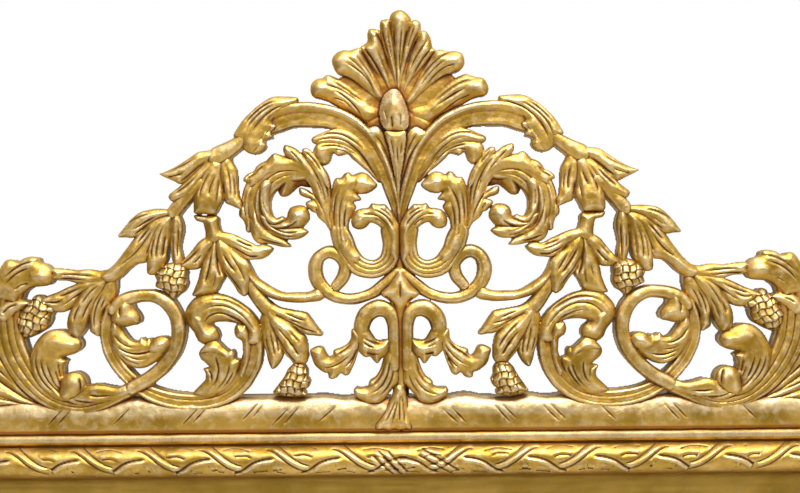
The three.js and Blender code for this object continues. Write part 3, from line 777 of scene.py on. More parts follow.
SINGLE_PIECES["center_bud"] = [
    blade(46, """-5 413 -11 411 -17 405 -21 396 -23 384 -21 372 -16 364 -6 362 4 362 10 365 13 373 12 383
    9 394 4 405 0 411 / -18 391 -15 380 -12 368 / -10 384 -8 374 -7 364 / 1 385 3 376 2 366 / 2 408 8 394
    11 378""", bevel=12, drop=8),
]
SINGLE_PIECES["center_stem"] = [
    stroke(Cut.STEM, 34, "0 46 5 0 60 6 0 90 7 0 120 7 0 150 9 0 166 13 0 186 7"),
    blade(39, """0 194 -7 186 -14 176 -23 166 -14 158 -4 147 4 147 14 158 23 166 14 176 7 186 / 0 190 0 172
    0 150 / -20 165 -11 158 -4 150 / 20 165 11 158 4 150""", bevel=8, drop=6),
    stroke(Cut.RIDGE, 31, "0 186 7 0 215 5 0 250 5"),
    blade(24, "-4 240 4 240 8 290 16 335 24 362 -26 364 -18 335 -10 290", bevel=9),
    blade(34, """-39 362 -31 368 -24 367 -18 359 -12 342 -8 325 -3 300 -1 262 -4 262 -9 305 -20 330 -34 351 /
    -33 352 -22 336 -12 318 / -30 360 -20 346 -11 326""", base=(-2, 290, 6), drop=3),
    blade(34, """8 348 12 362 20 367 28 364 35 358 22 338 9 312 3 290 2 262 -1 262 0 300 4 326 / 30 355
    18 338 9 320 / 22 360 13 344 6 326""", base=(2, 290, 6), drop=3),
    blade(38, """-16 362 -5 363 8 362 9 352 7 338 5 322 2 305 1 275 -1 255 -3 275 -5 302 -8 322 -12 342 /
    -3 361 -2 340 -1 318 -1 300 / 4 360 3 340 1 320 / -10 356 -7 338 -4 318""", base=(0, 290, 5), drop=3),
]
SINGLE_PIECES["foot_husk"] = [
    blade(39, """-10 47 -13 38 -19 26 -26 15 -31 7 -29 3 -22 4 -15 2 -8 4 -1 2 6 4 11 3 12 9 9 20 7 32 6 47
    0 56 -5 56 / -4 44 -10 30 -18 15 -24 7 / -3 44 -6 30 -10 16 -12 6 / -1 44 -2 30 -2 16 -3 6 / 1 44 3 30
    4 16 5 7""", base=(-3, 48, 2), bevel=7),
]
SINGLE_PIECES["palmette_finial"] = [
    blade(24, """0 500 -20 486 -34 468 -62 450 -66 432 -92 414 -88 402 -62 386 -36 368 0 366 34 368 62 386
    90 404 95 414 66 430 66 450 36 466 22 484""", bevel=4, drop=2),
    blade(26, "-38 372 -20 384 0 388 20 384 38 372 30 358 0 352 -32 358", bevel=4, drop=2),
    blade(33, """-88 430 -84 431 -78 429 -70 425 -58 417 -45 408 -32 398 -16 392 -16 374 -32 370 -42 370
    -50 376 -62 385 -75 394 -85 399 -95 402 -103 405 -106 412 -105 420 -98 426 -91 427 / -91 425 -76 421
    -62 412 -48 402 -34 393 / -88 419 -72 414 -58 406 -44 396 -34 387 / -88 412 -74 410 -62 402 -52 392
    -44 381 / -82 404 -66 399 -54 388 -45 377""", base=(-14, 378, 7), bevel=9, drop=6),
    blade(33, """75 429 82 431 88 429 95 427 102 426 107 420 109 412 106 405 98 403 90 401 78 394 65 386
    50 377 38 370 24 370 10 374 10 392 30 398 48 411 62 422 / 92 424 76 420 60 411 44 399 30 392 / 92 416
    76 411 60 402 44 390 36 380 / 88 406 72 399 58 389 46 377""", base=(8, 378, 7), bevel=9, drop=6),
    blade(36, """-46 463 -52 462 -58 460 -67 460 -75 456 -80 448 -78 440 -74 433 -66 430 -55 425 -42 414
    -30 402 -14 388 -8 396 -18 412 -26 427 -36 443 / -68 447 -56 441 -44 432 -34 420 -27 404 / -62 452
    -50 443 -39 431 -30 414 / -55 458 -45 447 -35 434 -27 418 -22 404 / -48 461 -38 450 -28 435 -20 418
   """, base=(-8, 388, 8), bevel=9, drop=6),
    blade(36, """46 459 53 460 60 458 70 458 77 455 80 449 80 441 75 435 66 432 55 429 42 420 30 408 12 390
    4 396 14 412 24 427 36 444 / 66 450 52 444 40 433 28 418 20 406 / 60 456 46 447 34 435 22 420 / 68 442
    54 437 42 427 32 414""", base=(4, 388, 8), bevel=9, drop=6),
    blade(35, """-22 484 -28 486 -34 486 -37 480 -37 471 -41 467 -46 463 -40 453 -28 434 -16 414 -8 396
    -3 400 -8 425 -13 447 -18 468 / -26 481 -18 465 -12 448 -8 430 / -32 474 -24 458 -16 440 -10 420 /
    -40 462 -29 446 -19 428 -12 410""", base=(-3, 392, 8), bevel=9, drop=6),
    blade(35, """28 483 33 483 37 479 40 471 42 463 46 459 38 450 28 437 16 420 6 400 2 402 6 425 13 447
    20 465 / 27 479 18 464 11 448 6 430 / 36 472 26 458 17 442 9 420 / 42 463 30 449 20 433 12 414
   """, base=(2, 392, 8), bevel=9, drop=6),
    blade(35, """-10 497 -15 497 -20 496 -22 491 -21 480 -18 465 -12 445 -6 425 -2 402 1 402 -1 430 -4 455
    -7 480 / -14 492 -12 478 -9 460 -5 440 / -19 486 -16 470 -11 452 -6 434""", base=(0, 392, 8), bevel=7),
    blade(35, """17 495 22 496 27 493 28 488 27 480 20 468 12 450 6 430 2 402 -1 402 1 430 6 455 11 478 /
    21 490 16 476 11 460 6 440 / 26 484 19 470 13 454 8 436""", base=(0, 392, 8), bevel=7),
    blade(37, """-10 497 -8 503 -3 507 5 508 11 504 16 497 16 490 12 478 8 460 4 440 2 402 -2 402 -3 440
    -6 465 -9 485 / 5 492 4 475 2 455 1 432 / 11 484 8 468 4 448 / -5 488 -4 470 -2 450
   """, base=(0, 392, 8), bevel=9, drop=6),
]
PAIRED_PIECES["arch"] = [
    stroke(Cut.RIM, 34, """-1 245 4 -4 268 6 -10 290 8 -17 312 9 -27 334 11 -41 354 12 -60 370 13 -84 380 14
    -108 383 15 -130 382 15 -150 375 14 -168 366 11"""),
    blade(36, """-121 403 -137 405 -152 404 -168 395 -184 381 -195 366 -199 358 -191 352 -187 342 -178 336
    -166 338 -159 346 -161 352 -151 356 -154 362 -148 369 -152 375 -137 387 -121 399 / -136 402 -160 395
    -182 376 -193 361 / -132 400 -158 391 -178 373 -187 354 / -129 398 -154 387 -174 366 -182 344
   """, bevel=8),
    blade(38, """-123 400 -138 395 -154 382 -164 366 -172 350 -175 337 -166 338 -159 346 -161 352 -151 356
    -154 362 -148 369 -152 375 -137 387 / -127 398 -148 383 -162 362 -169 343 / -130 394 -146 380 -156 364 /
    -128 396 -148 378 -160 358 -163 345""", bevel=7),
]
PAIRED_PIECES["acanthus_scroll"] = [
    stroke(Cut.FLUTED, 32, """-116 314 10 -140 316 16 -160 305 18 -171 287 18 -172 266 18 -163 249 17
    -146 243 14 -130 248 13"""),
    blade(31, """-165 303 -155 312 -140 316 -125 316 -110 308 -102 296 -112 296 -120 297 -128 291 -136 285
    -143 285 -147 292 -148 300 -156 300""", bevel=14, drop=9),
    blade(33, """-165 326 -172 321 -176 315 -181 313 -187 308 -188 304 -183 301 -180 296 -170 298 -158 308
    -150 318 -155 328 / -184 305 -177 310 -168 318 -160 324""", bevel=5, drop=4),
    blade(35, """-66 206 -77 222 -83 240 -90 252 -98 259 -101 266 -103 278 -104 288 -108 298 -116 307
    -126 312 -140 313 -155 310 -166 303 -168 316 -158 330 -150 337 -140 334 -128 335 -116 338 -106 337
    -98 329 -91 320 -85 310 -82 298 -82 280 -82 258 -78 238 -72 222 / -110 338 -101 326 -93 312 -88 298
    -85 280 -84 262 / -117 334 -106 320 -97 305 -91 288 -87 268 / -130 337 -118 325 -107 315 -99 303 -93 285
    -88 262 / -104 290 -99 281 -92 268 -86 252 -80 236""", bevel=8),
    blade(37, """-118 337 -124 342 -131 345 -137 346 -139 342 -138 336 -130 328 -118 318 -108 308 -98 300
    -100 312 -108 326 / -131 340 -120 328 -108 314""", drop=4),
    blade(36, """-116 341 -110 342 -105 338 -98 330 -91 319 -86 308 -84 294 -90 298 -98 310 -106 322 -114 332
    / -112 338 -101 326 -92 310""", bevel=5, drop=3),
    blade(33, """-113 276 -104 280 -96 275 -89 262 -86 250 -93 254 -98 259 -100 264 -104 265 -108 268 /
    -104 275 -97 265 -90 254""", bevel=5, drop=4),
    blade(32, """-104 279 -108 282 -115 284 -120 287 -120 295 -112 293 -102 286 -92 274 -88 262 -94 268
   """, bevel=5, drop=4),
    blade(33, """-176 300 -184 294 -188 286 -190 277 -193 269 -193 261 -189 257 -186 250 -185 243 -181 241
    -178 248 -179 258 -179 270 -177 285 / -186 290 -187 275 -185 262 -182 246""", drop=4),
    blade(35, """-166 300 -174 290 -177 275 -180 260 -180 248 -178 237 -174 231 -169 228 -160 228 -152 226
    -144 224 -131 224 -134 229 -140 233 -150 238 -160 247 -166 260 -166 280 / -176 290 -179 275 -178 260
    -173 246 -168 238 / -171 292 -174 275 -172 262 -166 250 -156 240 -142 233 / -172 236 -162 232 -150 229
    -138 227""", drop=4),
    blade(36, """-168 262 -162 248 -150 239 -140 234 -130 232 -121 233 -113 238 -110 242 -116 246 -128 248
    -140 247 -152 250 -160 262 / -162 251 -150 242 -138 237 -125 237 -114 241 / -160 256 -150 246 -138 241
    -126 241 -117 244""", bevel=5, drop=4),
    blade(37, """-168 300 -160 305 -154 301 -156 290 -157 280 -155 270 -152 262 -148 259 -140 261 -137 256
    -146 250 -156 250 -164 256 -169 268 -171 284 / -161 299 -164 284 -162 270 -156 260 / -166 296 -169 280
    -166 265 -158 255""", bevel=7),
    blade(40, """-163 256 -152 253 -142 256 -136 258 -135 264 -132 270 -127 273 -120 274 -113 272 -109 266
    -108 258 -112 252 -118 246 -130 243 -144 243 -156 247 / -122 256 -130 250 -140 246 -152 247
   """, bevel=11, drop=8),
]
PAIRED_PIECES["upper_side_leaf"] = [
    blade(35, """-12 304 -20 318 -30 333 -40 347 -52 358 -66 364 -80 365 -94 360 -105 354 -105 350 -98 346
    -80 346 -62 342 -48 330 -34 312 -24 300 / -100 356 -84 360 -68 358 -54 350 -42 338 -28 316 / -100 351
    -84 354 -68 352 -55 344 -42 330 -28 308""", base=(-16, 300, 6), drop=4),
    blade(36, """-22 300 -38 322 -52 338 -68 347 -84 350 -100 346 -103 336 -98 327 -90 322 -83 327 -79 337
    -74 333 -62 335 -56 329 -48 322 -38 314 -31 306 / -94 344 -80 345 -66 342 -52 333 -38 317 / -88 338
    -76 340 -64 338 -52 328""", base=(-26, 300, 6), drop=4),
]
PAIRED_PIECES["inner_loop"] = [
    stroke(Cut.FLUTED, 34, """-72 240 12 -68 230 13 -62 216 12 -49 200 12 -30 196 11 -15 205 11 -10 224 11
    -12 242 11"""),
    blade(36, """-64 206 -76 222 -80 236 -82 252 -82 268 -82 284 -80 299 -76 306 -70 307 -65 312 -60 313
    -56 310 -46 313 -38 311 -30 303 -26 297 -33 290 -42 287 -49 287 -53 290 -48 284 -46 280 -55 277 -52 271
    -57 262 -61 250 -60 238 -55 224 -46 212 -50 202 / -76 232 -79 252 -78 270 -76 284 -71 295 -64 304 -59 311
    / -70 228 -72 248 -72 266 -69 280 -63 291 -56 299 -50 303 / -64 228 -66 244 -66 260 -62 275 -55 284
   """, bevel=7),
    blade(40, """-60 298 -57 308 -46 313 -38 311 -31 304 -26 297 -33 290 -42 287 -50 288 -57 291
   """, bevel=13, drop=8),
    blade(37, """-4 205 0 226 0 247 -4 256 -8 264 -13 270 -17 274 -26 274 -33 275 -37 270 -44 269 -51 267
    -56 261 -58 254 -56 247 -49 244 -42 246 -35 252 -28 250 -20 243 -14 232 -14 216 / -44 262 -35 262 -27 260
    -19 254 -12 245 -7 232 / -40 267 -28 266 -18 261 -10 252 -4 240 / -33 272 -24 269 -14 263 -7 254 /
    -38 257 -27 256 -18 249 -12 238""", bevel=7),
    blade(39, "-40 264 -50 266 -56 260 -58 252 -54 246 -47 244 -40 247 -36 253", bevel=11, drop=7),
]
PAIRED_PIECES["tendril_ring"] = [
    stroke(Cut.STEM, 32, """-4 190 8 -18 178 8 -34 167 7 -52 161 7 -70 161 7 -86 168 8 -99 182 9 -102 198 9
    -97 211 8 -86 217 8 -74 213 8 -66 202 8 -68 188 8 -77 176 7""", Groove(-0.45, 0.02, 0.97, 1.3)),
]
PAIRED_PIECES["outer_husks"] = [
    stroke(Cut.STEM, 34, "-182 358 8 -198 346 9 -218 334 12"),
    stroke(Cut.STEM, 34, "-240 300 9 -258 284 9 -271 268 9"),
    blade(36, """-205 350 -218 343 -230 341 -242 339 -250 334 -260 327 -272 320 -283 315 -289 313 -283 309
    -272 304 -263 300 -254 306 -245 315 -234 324 -220 331 -207 335 / -286 313 -270 319 -258 324 -248 330
    -236 336 / -264 303 -253 311 -244 319 -232 328 / -278 309 -264 312 -252 318
   """, base=(-205, 342, 3), drop=4),
    blade(36, """-216 336 -232 328 -246 316 -258 304 -268 295 -278 286 -275 280 -268 280 -256 283 -247 286
    -241 296 -234 306 -222 318 / -273 288 -262 294 -252 302 -243 311 -234 321 / -262 284 -252 291 -243 301
    -233 313""", base=(-212, 332, 3), drop=4),
    blade(35, """-205 335 -200 326 -196 318 -195 300 -193 284 -190 279 -190 270 -195 271 -202 274 -209 277
    -212 285 -215 296 -218 310 -218 326 / -203 284 -203 298 -205 312 -210 326 / -197 284 -198 300 -201 316 /
    -209 280 -211 294 -212 308""", base=(-212, 332, 3), drop=4),
    blade(38, """-224 332 -236 316 -243 298 -247 284 -248 272 -247 265 -235 264 -222 264 -217 272 -212 282
    -213 295 -213 310 -213 326 / -229 284 -227 296 -222 308 -218 320 / -241 274 -239 290 -233 305 -225 318 /
    -221 270 -219 285 -217 300 -216 312""", base=(-216, 334, 3), bevel=7),
    blade(36, """-266 270 -282 271 -292 271 -302 270 -311 268 -320 262 -328 254 -334 246 -339 238 -330 237
    -321 236 -312 241 -303 249 -294 256 -282 260 -268 260 / -330 252 -320 258 -308 263 -295 266 / -330 241
    -318 247 -306 255 -295 261 -282 265 / -322 238 -311 246 -301 254""", base=(-266, 266, 3), drop=4),
    blade(37, """-268 266 -284 264 -300 257 -311 246 -320 236 -330 222 -340 209 -352 198 -362 190 -352 182
    -343 184 -334 190 -326 198 -318 204 -306 206 -299 212 -294 226 -286 244 -274 256 / -345 196 -330 208
    -316 220 -304 236 -294 250 / -322 222 -312 234 -302 246 -290 256 / -308 211 -300 226 -292 242 -282 254
   """, base=(-266, 266, 3), bevel=7),
    blade(36, """-268 268 -274 262 -277 245 -277 232 -276 218 -274 208 -271 201 -265 203 -262 212 -264 225
    -262 235 -260 245 -262 258 / -267 208 -267 225 -266 240 -267 256 / -272 210 -273 225 -272 242
   """, base=(-268, 266, 2), drop=4),
    blade(38, """-272 264 -288 259 -296 248 -301 235 -305 220 -305 206 -304 193 -298 191 -291 193 -286 200
    -280 209 -279 220 -277 235 -275 250 / -293 206 -292 222 -289 238 -282 254 / -299 206 -298 222 -294 238 /
    -285 210 -284 225 -281 242""", base=(-270, 266, 3), bevel=7),
    blade(35, """-340 204 -352 199 -362 197 -375 199 -390 198 -405 200 -416 201 -420 198 -418 193 -419 188
    -412 186 -400 185 -388 181 -370 178 -350 180 / -411 192 -398 193 -384 192 -366 190 / -415 188 -402 188
    -387 187 -368 184""", base=(-345, 190, 2), drop=4),
    blade(36, """-352 192 -374 188 -390 182 -402 177 -414 171 -432 163 -429 157 -421 150 -411 147 -400 149
    -393 155 -386 165 -374 172 -356 176 / -420 163 -405 168 -391 174 -372 180 / -409 153 -398 161 -386 169
    -370 176 / -426 160 -412 160 -400 166""", base=(-345, 188, 3), drop=4),
    blade(35, """-342 186 -352 188 -362 176 -369 162 -374 147 -374 131 -374 125 -368 120 -363 118 -361 125
    -361 138 -357 150 -349 158 -344 164 / -368 127 -368 144 -363 160 -353 176 / -363 143 -358 158 -350 172
   """, base=(-348, 188, 2), drop=4),
    blade(38, """-350 190 -370 184 -383 173 -391 160 -398 148 -401 134 -399 123 -392 117 -387 117 -381 124
    -377 132 -374 146 -367 160 -356 172 / -388 145 -381 160 -371 173 -358 182 / -394 130 -389 148 -380 163 /
    -384 127 -381 143 -374 158 -363 172""", base=(-346, 188, 3), bevel=7),
]
PAIRED_PIECES["inner_husks"] = [
    blade(34, """-248 263 -246 257 -241 255 -237 254 -235 247 -234 238 -236 230 -225 226 -212 230 -210 240
    -215 245 -217 252 -218 260 -222 263 -235 263""", bevel=8),
    stroke(Cut.STEM, 34, "-188 192 7 -178 173 8 -167 157 9 -157 146 10"),
    blade(36, """-226 238 -222 243 -212 243 -200 240 -190 235 -180 230 -172 226 -165 227 -157 226 -152 222
    -157 215 -165 210 -175 209 -184 209 -193 215 -202 222 -214 227 / -163 218 -176 219 -189 224 -202 231
    -216 236 / -168 213 -180 213 -192 219 -204 227 / -172 224 -185 227 -199 234
   """, base=(-226, 238, 2), drop=4),
    blade(35, """-224 238 -234 236 -242 231 -250 221 -258 212 -267 203 -270 199 -262 198 -250 197 -241 199
    -236 208 -230 218 -222 226 / -262 204 -252 212 -243 221 -233 231 / -251 202 -243 210 -235 221
   """, base=(-224, 238, 2), drop=4),
    blade(34, """-196 212 -184 209 -178 198 -172 188 -163 181 -152 174 -142 170 -125 169 -110 170 -98 174
    -90 164 -95 159 -105 157 -118 156 -135 157 -150 160 -163 165 -174 172 -184 183 -194 198"""),
    blade(37, """-218 236 -223 224 -221 214 -217 204 -211 192 -205 185 -199 177 -195 170 -190 166 -187 165
    -183 169 -181 178 -180 192 -182 205 -190 213 -200 221 -208 231 / -193 187 -200 197 -207 207 -214 220 /
    -185 180 -190 193 -198 207 -207 221 / -190 170 -199 182 -209 195 -217 208
   """, base=(-220, 236, 2), drop=4),
    blade(37, """-222 236 -231 220 -238 205 -241 195 -243 185 -248 172 -250 167 -245 165 -235 166 -224 169
    -220 171 -215 180 -210 189 -213 196 -216 208 -217 222 / -215 188 -219 200 -220 214 -221 226 / -238 171
    -233 185 -229 201 -226 218 / -225 174 -222 188 -222 202""", base=(-220, 236, 2), bevel=7),
    blade(36, """-160 158 -145 151 -130 148 -118 146 -112 144 -108 139 -102 130 -96 122 -93 118 -96 116
    -104 117 -113 118 -122 123 -132 130 -143 137 -158 144 / -110 134 -122 137 -134 142 -146 146 / -112 130
    -124 133 -138 139 / -102 121 -116 125 -130 132 -145 140""", base=(-162, 152, 2), drop=4),
    blade(35, """-158 152 -168 141 -169 130 -168 118 -165 105 -162 97 -160 88 -157 80 -155 77 -150 79 -144 86
    -141 94 -143 105 -147 114 -150 126 -152 140 / -151 90 -153 103 -156 117 -158 132 / -157 92 -161 108
    -163 124 / -146 92 -147 104 -150 116""", base=(-160, 152, 2), drop=4),
    blade(38, """-158 154 -144 140 -132 131 -122 122 -115 116 -112 106 -111 96 -111 88 -114 83 -120 81
    -127 82 -133 88 -140 96 -144 105 -149 113 -154 122 -160 132 -165 144 / -129 103 -135 112 -142 120
    -150 130 / -122 92 -128 103 -134 112 / -116 98 -123 110 -133 122 -146 135 / -127 86 -136 96 -144 108
    -152 122""", base=(-162, 152, 3), bevel=7),
]
PAIRED_PIECES["ring_scroll"] = [
    stroke(Cut.BAND, 34, """-348 150 8 -354 130 8 -352 108 9 -341 84 9 -320 61 9 -298 47 10 -270 39 11
    -240 38 11 -213 45 11 -193 61 12 -181 82 13 -177 104 12 -180 126 12"""),
    blade(37, """-167 108 -168 128 -178 145 -194 158 -210 166 -226 169 -241 167 -252 159 -259 148 -257 133
    -249 122 -243 111 -233 106 -221 109 -217 116 -221 127 -228 131 -219 134 -206 134 -194 130 -187 120
    -188 106 / -170 130 -181 144 -197 155 -214 161 -232 160 -246 151 -254 138 / -176 124 -186 138 -200 149
    -216 154 -232 151 -243 141 -248 126 / -181 120 -192 134 -206 142 -218 145 -230 141 -236 132 / -184 114
    -194 129 -208 137 -222 138""", bevel=8, drop=6),
    blade(40, """-257 140 -250 150 -240 150 -230 143 -227 132 -221 126 -217 116 -221 109 -233 106 -243 111
    -249 122""", bevel=13, drop=9),
    blade(37, """-186 132 -191 131 -197 131 -200 124 -198 116 -191 111 -190 100 -190 85 -196 70 -191 66
    -183 85 -180 100 -180 118""", bevel=7),
    blade(37, """-250 48 -242 58 -236 65 -236 73 -238 78 -231 80 -234 84 -241 90 -243 97 -238 104 -230 110
    -219 110 -213 104 -208 100 -203 101 -199 96 -199 90 -194 88 -195 80 -199 70 -204 60 -214 50 -230 42 /
    -222 92 -219 76 -224 60 -236 49 / -206 90 -207 76 -214 61 -228 48 / -199 86 -202 73 -210 60 -222 47 /
    -236 79 -228 72 -228 60""", base=(-244, 42, 2), bevel=8),
    blade(40, """-241 99 -234 108 -226 112 -218 110 -212 104 -206 99 -203 92 -208 88 -218 93 -230 95
   """, bevel=8),
    blade(35, """-350 125 -344 138 -337 130 -331 121 -323 113 -316 113 -312 117 -307 114 -302 116 -299 113
    -290 116 -282 112 -279 104 -284 95 -297 85 -307 80 -317 79 -328 83 -338 92 -347 105 / -346 122 -337 111
    -325 105 -310 106 / -346 113 -337 103 -323 97 -307 98 -294 103 / -343 105 -334 97 -320 91 -305 91 -292 96
    / -338 97 -328 89 -315 85 -303 86""", drop=4),
    stroke(Cut.STEM, 37, """-322 56 9 -300 69 9 -284 83 9 -272 101 9 -267 121 9 -270 141 9 -280 157 9
    -297 166 8 -316 166 8 -334 160 9 -344 151 8"""),
    blade(40, """-300 112 -294 117 -286 118 -279 115 -277 107 -282 99 -290 96 -300 97 -306 102
   """, bevel=9, drop=6),
    blade(40, """-348 138 -345 152 -338 162 -328 166 -322 158 -320 152 -315 146 -312 139 -314 133 -322 131
    -332 129 -341 131 / -334 158 -337 149 -336 140""", bevel=10, drop=7),
]
PAIRED_PIECES["outer_scroll"] = [
    stroke(Cut.FLUTED, 34, """-440 192 10 -452 190 15 -466 181 17 -473 166 18 -474 146 18 -473 126 18
    -469 105 18 -459 83 17 -446 64 15 -430 48 12 -410 37 11 -385 33 10 -362 38 10 -344 45 9 -326 54 9"""),
    blade(37, """-492 178 -487 192 -480 204 -474 211 -468 212 -461 209 -452 213 -442 215 -436 213 -434 208
    -427 206 -421 201 -418 194 -418 187 -422 181 -432 179 -441 178 -449 175 -456 168 -462 158 -472 160
    -484 164 / -436 209 -450 207 -462 201 -474 191 -484 178 / -440 202 -452 199 -463 193 -473 183 -480 172 /
    -446 183 -457 180 -466 172""", bevel=7),
    blade(40, """-450 199 -440 205 -430 206 -422 201 -418 194 -418 187 -423 181 -435 179 -446 182 -452 190
   """, bevel=11, drop=7),
    blade(38, """-486 140 -484 154 -476 161 -464 163 -452 163 -446 159 -452 153 -461 148 -468 141 -476 136 /
    -478 146 -470 154 -458 158""", bevel=7),
    blade(37, """-386 52 -378 59 -366 61 -355 59 -343 57 -330 58 -322 52 -340 43 -362 38 -385 36 -402 42 /
    -383 50 -370 47 -352 47 -334 51 / -398 46 -388 41 -372 39 -352 41""", bevel=5, drop=3),
    blade(38, """-402 38 -418 42 -428 50 -437 60 -444 74 -446 88 -444 100 -440 110 -434 118 -424 125 -413 127
    -404 124 -395 120 -388 116 -384 111 -385 104 -390 98 -400 95 -408 93 -402 89 -405 84 -406 74 -405 66
    -407 56 -402 46 / -402 42 -418 52 -431 66 -438 84 -437 100 -430 112 / -404 46 -417 57 -427 71 -432 88
    -430 102 / -406 50 -416 62 -422 76 -425 90 -422 102 / -407 56 -413 70 -416 84 / -409 68 -411 80 -411 90
   """, base=(-400, 36, 2), bevel=7),
    blade(41, """-437 108 -430 119 -420 126 -410 127 -400 123 -390 118 -384 111 -385 103 -392 98 -405 95
    -418 98 -428 103""", bevel=13, drop=8),
    blade(40, """-409 58 -408 66 -403 73 -396 76 -388 75 -381 70 -378 62 -380 54 -385 47 -394 42 -404 40
    -411 46 / -388 74 -385 62 -385 49""", bevel=9, drop=6),
]
PAIRED_PIECES["tail_leaf"] = [
    blade(35, """-430 36 -446 50 -460 66 -472 84 -486 102 -498 120 -508 134 -517 137 -523 130 -523 116
    -516 99 -504 82 -488 66 -468 50 -448 38 / -512 126 -504 106 -490 86 -472 67 -450 48 / -517 118 -508 98
    -494 80 -474 61""", base=(-432, 34, 5), bevel=7),
    blade(38, """-430 34 -452 46 -474 59 -496 74 -516 90 -532 104 -545 111 -553 107 -552 96 -543 82 -525 66
    -502 53 -478 44 -452 35 / -546 102 -528 86 -506 70 -480 55 -452 43 / -545 92 -526 76 -504 62 -478 50 /
    -530 96 -510 80 -488 66""", base=(-432, 34, 6), bevel=7),
    blade(36, """-430 30 -452 38 -476 46 -504 54 -530 62 -552 72 -562 76 -569 70 -563 58 -547 47 -522 39
    -492 34 -470 34 -450 31 / -560 68 -538 57 -510 49 -480 43 -452 37 / -556 60 -532 50 -506 43 -478 39
   """, base=(-432, 32, 5), drop=4),
]
PAIRED_PIECES["lower_curl"] = [
    stroke(Cut.STEM, 37, """-8 80 7.6 -8 100 7.8 -8 118 7.6 -9 133 8.2 -14 145 9.5 -27 149 10.5 -40 142 10.5
    -46 129 10 -46 114 9
   """, Groove(0.5, 0.42, 0.8, 1.8, 1.8), Groove(0.1, 0.6, 0.9, 1.4, 1.8), Groove(-0.1, 0.02, 0.3, 1, 2)),
    blade(37, """-58 124 -60 113 -64 107 -72 102 -81 99 -82 94 -86 91 -89 95 -93 102 -98 104 -105 102 -109 99
    -107 90 -104 82 -98 76 -92 72 -88 71 -87 66 -83 64 -77 66 -72 71 -67 68 -62 70 -58 78 -54 88 -51 97
    -46 106 -44 118 / -56 112 -64 102 -74 95 -86 88 -98 88 / -53 106 -61 94 -71 85 -84 79 -96 79 / -51 101
    -58 89 -67 79 -77 73 / -54 94 -60 82 -66 74""", bevel=7),
    blade(39, """-54 110 -50 97 -42 90 -37 91 -33 86 -28 82 -23 88 -14 96 -12 104 -14 111 -28 111 -33 117
    -38 124 -46 126 -54 120 / -46 110 -38 104 -29 101 / -50 119 -43 113 -33 108 -20 106 / -42 96 -34 94
    -24 94""", bevel=9, drop=6),
    blade(36, """-8 108 -18 98 -22 86 -26 74 -31 66 -38 61 -40 55 -48 53 -55 53 -57 49 -54 43 -48 38 -40 34
    -32 33 -25 35 -18 42 -10 52 -2 62 -4 84 / -19 84 -23 70 -30 60 -42 52 / -13 84 -17 67 -25 54 -38 46
    -50 45 / -8 78 -12 62 -21 48 -34 40""", bevel=7),
]
PAIRED_PIECES["cone_upper"] = [
    blade(40, """-278 206 -268 206 -260 202 -256 195 -257 187 -256 180 -261 170 -267 166 -272 162 -279 168
    -287 174 -294 178 -293 185 -295 191 -291 197 -285 202
   """, base=(-271, 206, 0), bevel=8, drop=7, scales=8.5),
]
PAIRED_PIECES["cone_outer"] = [
    blade(37, """-435 169 -427 163 -422 159 -415 156 -413 148 -420 144 -422 136 -427 128 -435 123 -442 119
    -451 117 -458 122 -462 130 -463 139 -458 147 -453 157 -445 162 -441 167
   """, base=(-432, 160, 0), bevel=8, drop=7, scales=8.5),
]
PAIRED_PIECES["cone_lower"] = [
    blade(40, """-129 83 -120 85 -114 80 -111 74 -111 67 -108 61 -111 55 -116 51 -113 46 -122 43 -134 43
    -146 45 -154 49 -152 52 -146 60 -140 69 -136 77 -133 80
   """, base=(-125, 80, 0), bevel=8, drop=7, scales=8.5),
]

# The gouge's nicks on the log: (x, z) of both ends.
LOG_NICKS = groups(
    """-190 17 -173 35 -178 20 -168 32 -155 10 -137 28 -140 12 -124 30 -100 13 -80 30 -262 12 -246 29
    -250 14 -237 28 -345 13 -328 30 -425 12 -410 28 -414 12 -399 28 52 26 68 11 62 28 78 11 114 30 131 11
    123 31 140 14 172 30 190 12 181 31 197 15 243 28 258 13 318 30 334 13 328 31 343 15 412 28 428 12""",
    4,
)


# ---- The height map -------------------------------------------------------------------------
def smooth_line(stations: Sequence[Station], spacing: float) -> Array:
    """A centripetal Catmull-Rom line through stations.

    Args:
        stations: the stations (x, z, half width).
        spacing: the largest distance between two points of the line.

    Returns:
        The line's points, n x 3.
    """
    known = np.array(stations, float)
    known = np.vstack([2 * known[0] - known[1], known, 2 * known[-1] - known[-2]])
    parts = []
    for before, here, there, after in zip(known, known[1:], known[2:], known[3:]):
        ends = (before, here, there, after)
        p, q, r = (max(np.linalg.norm(b - a), 1e-4) ** 0.5 for a, b in zip(ends, ends[1:]))
        first = ((here - before) / p - (there - before) / (p + q) + (there - here) / q) * q
        last = ((there - here) / q - (after - here) / (q + r) + (after - there) / r) * q
        count = max(2, math.ceil(np.linalg.norm((there - here)[:2]) / spacing))
        t = (np.arange(count) / count)[:, None]
        parts.append(
            here * (2 * t**3 - 3 * t**2 + 1) + first * (t**3 - 2 * t**2 + t)
            + there * (3 * t**2 - 2 * t**3) + last * (t**3 - t**2)
        )
    parts.append(known[-2:-1])
    return np.vstack(parts)


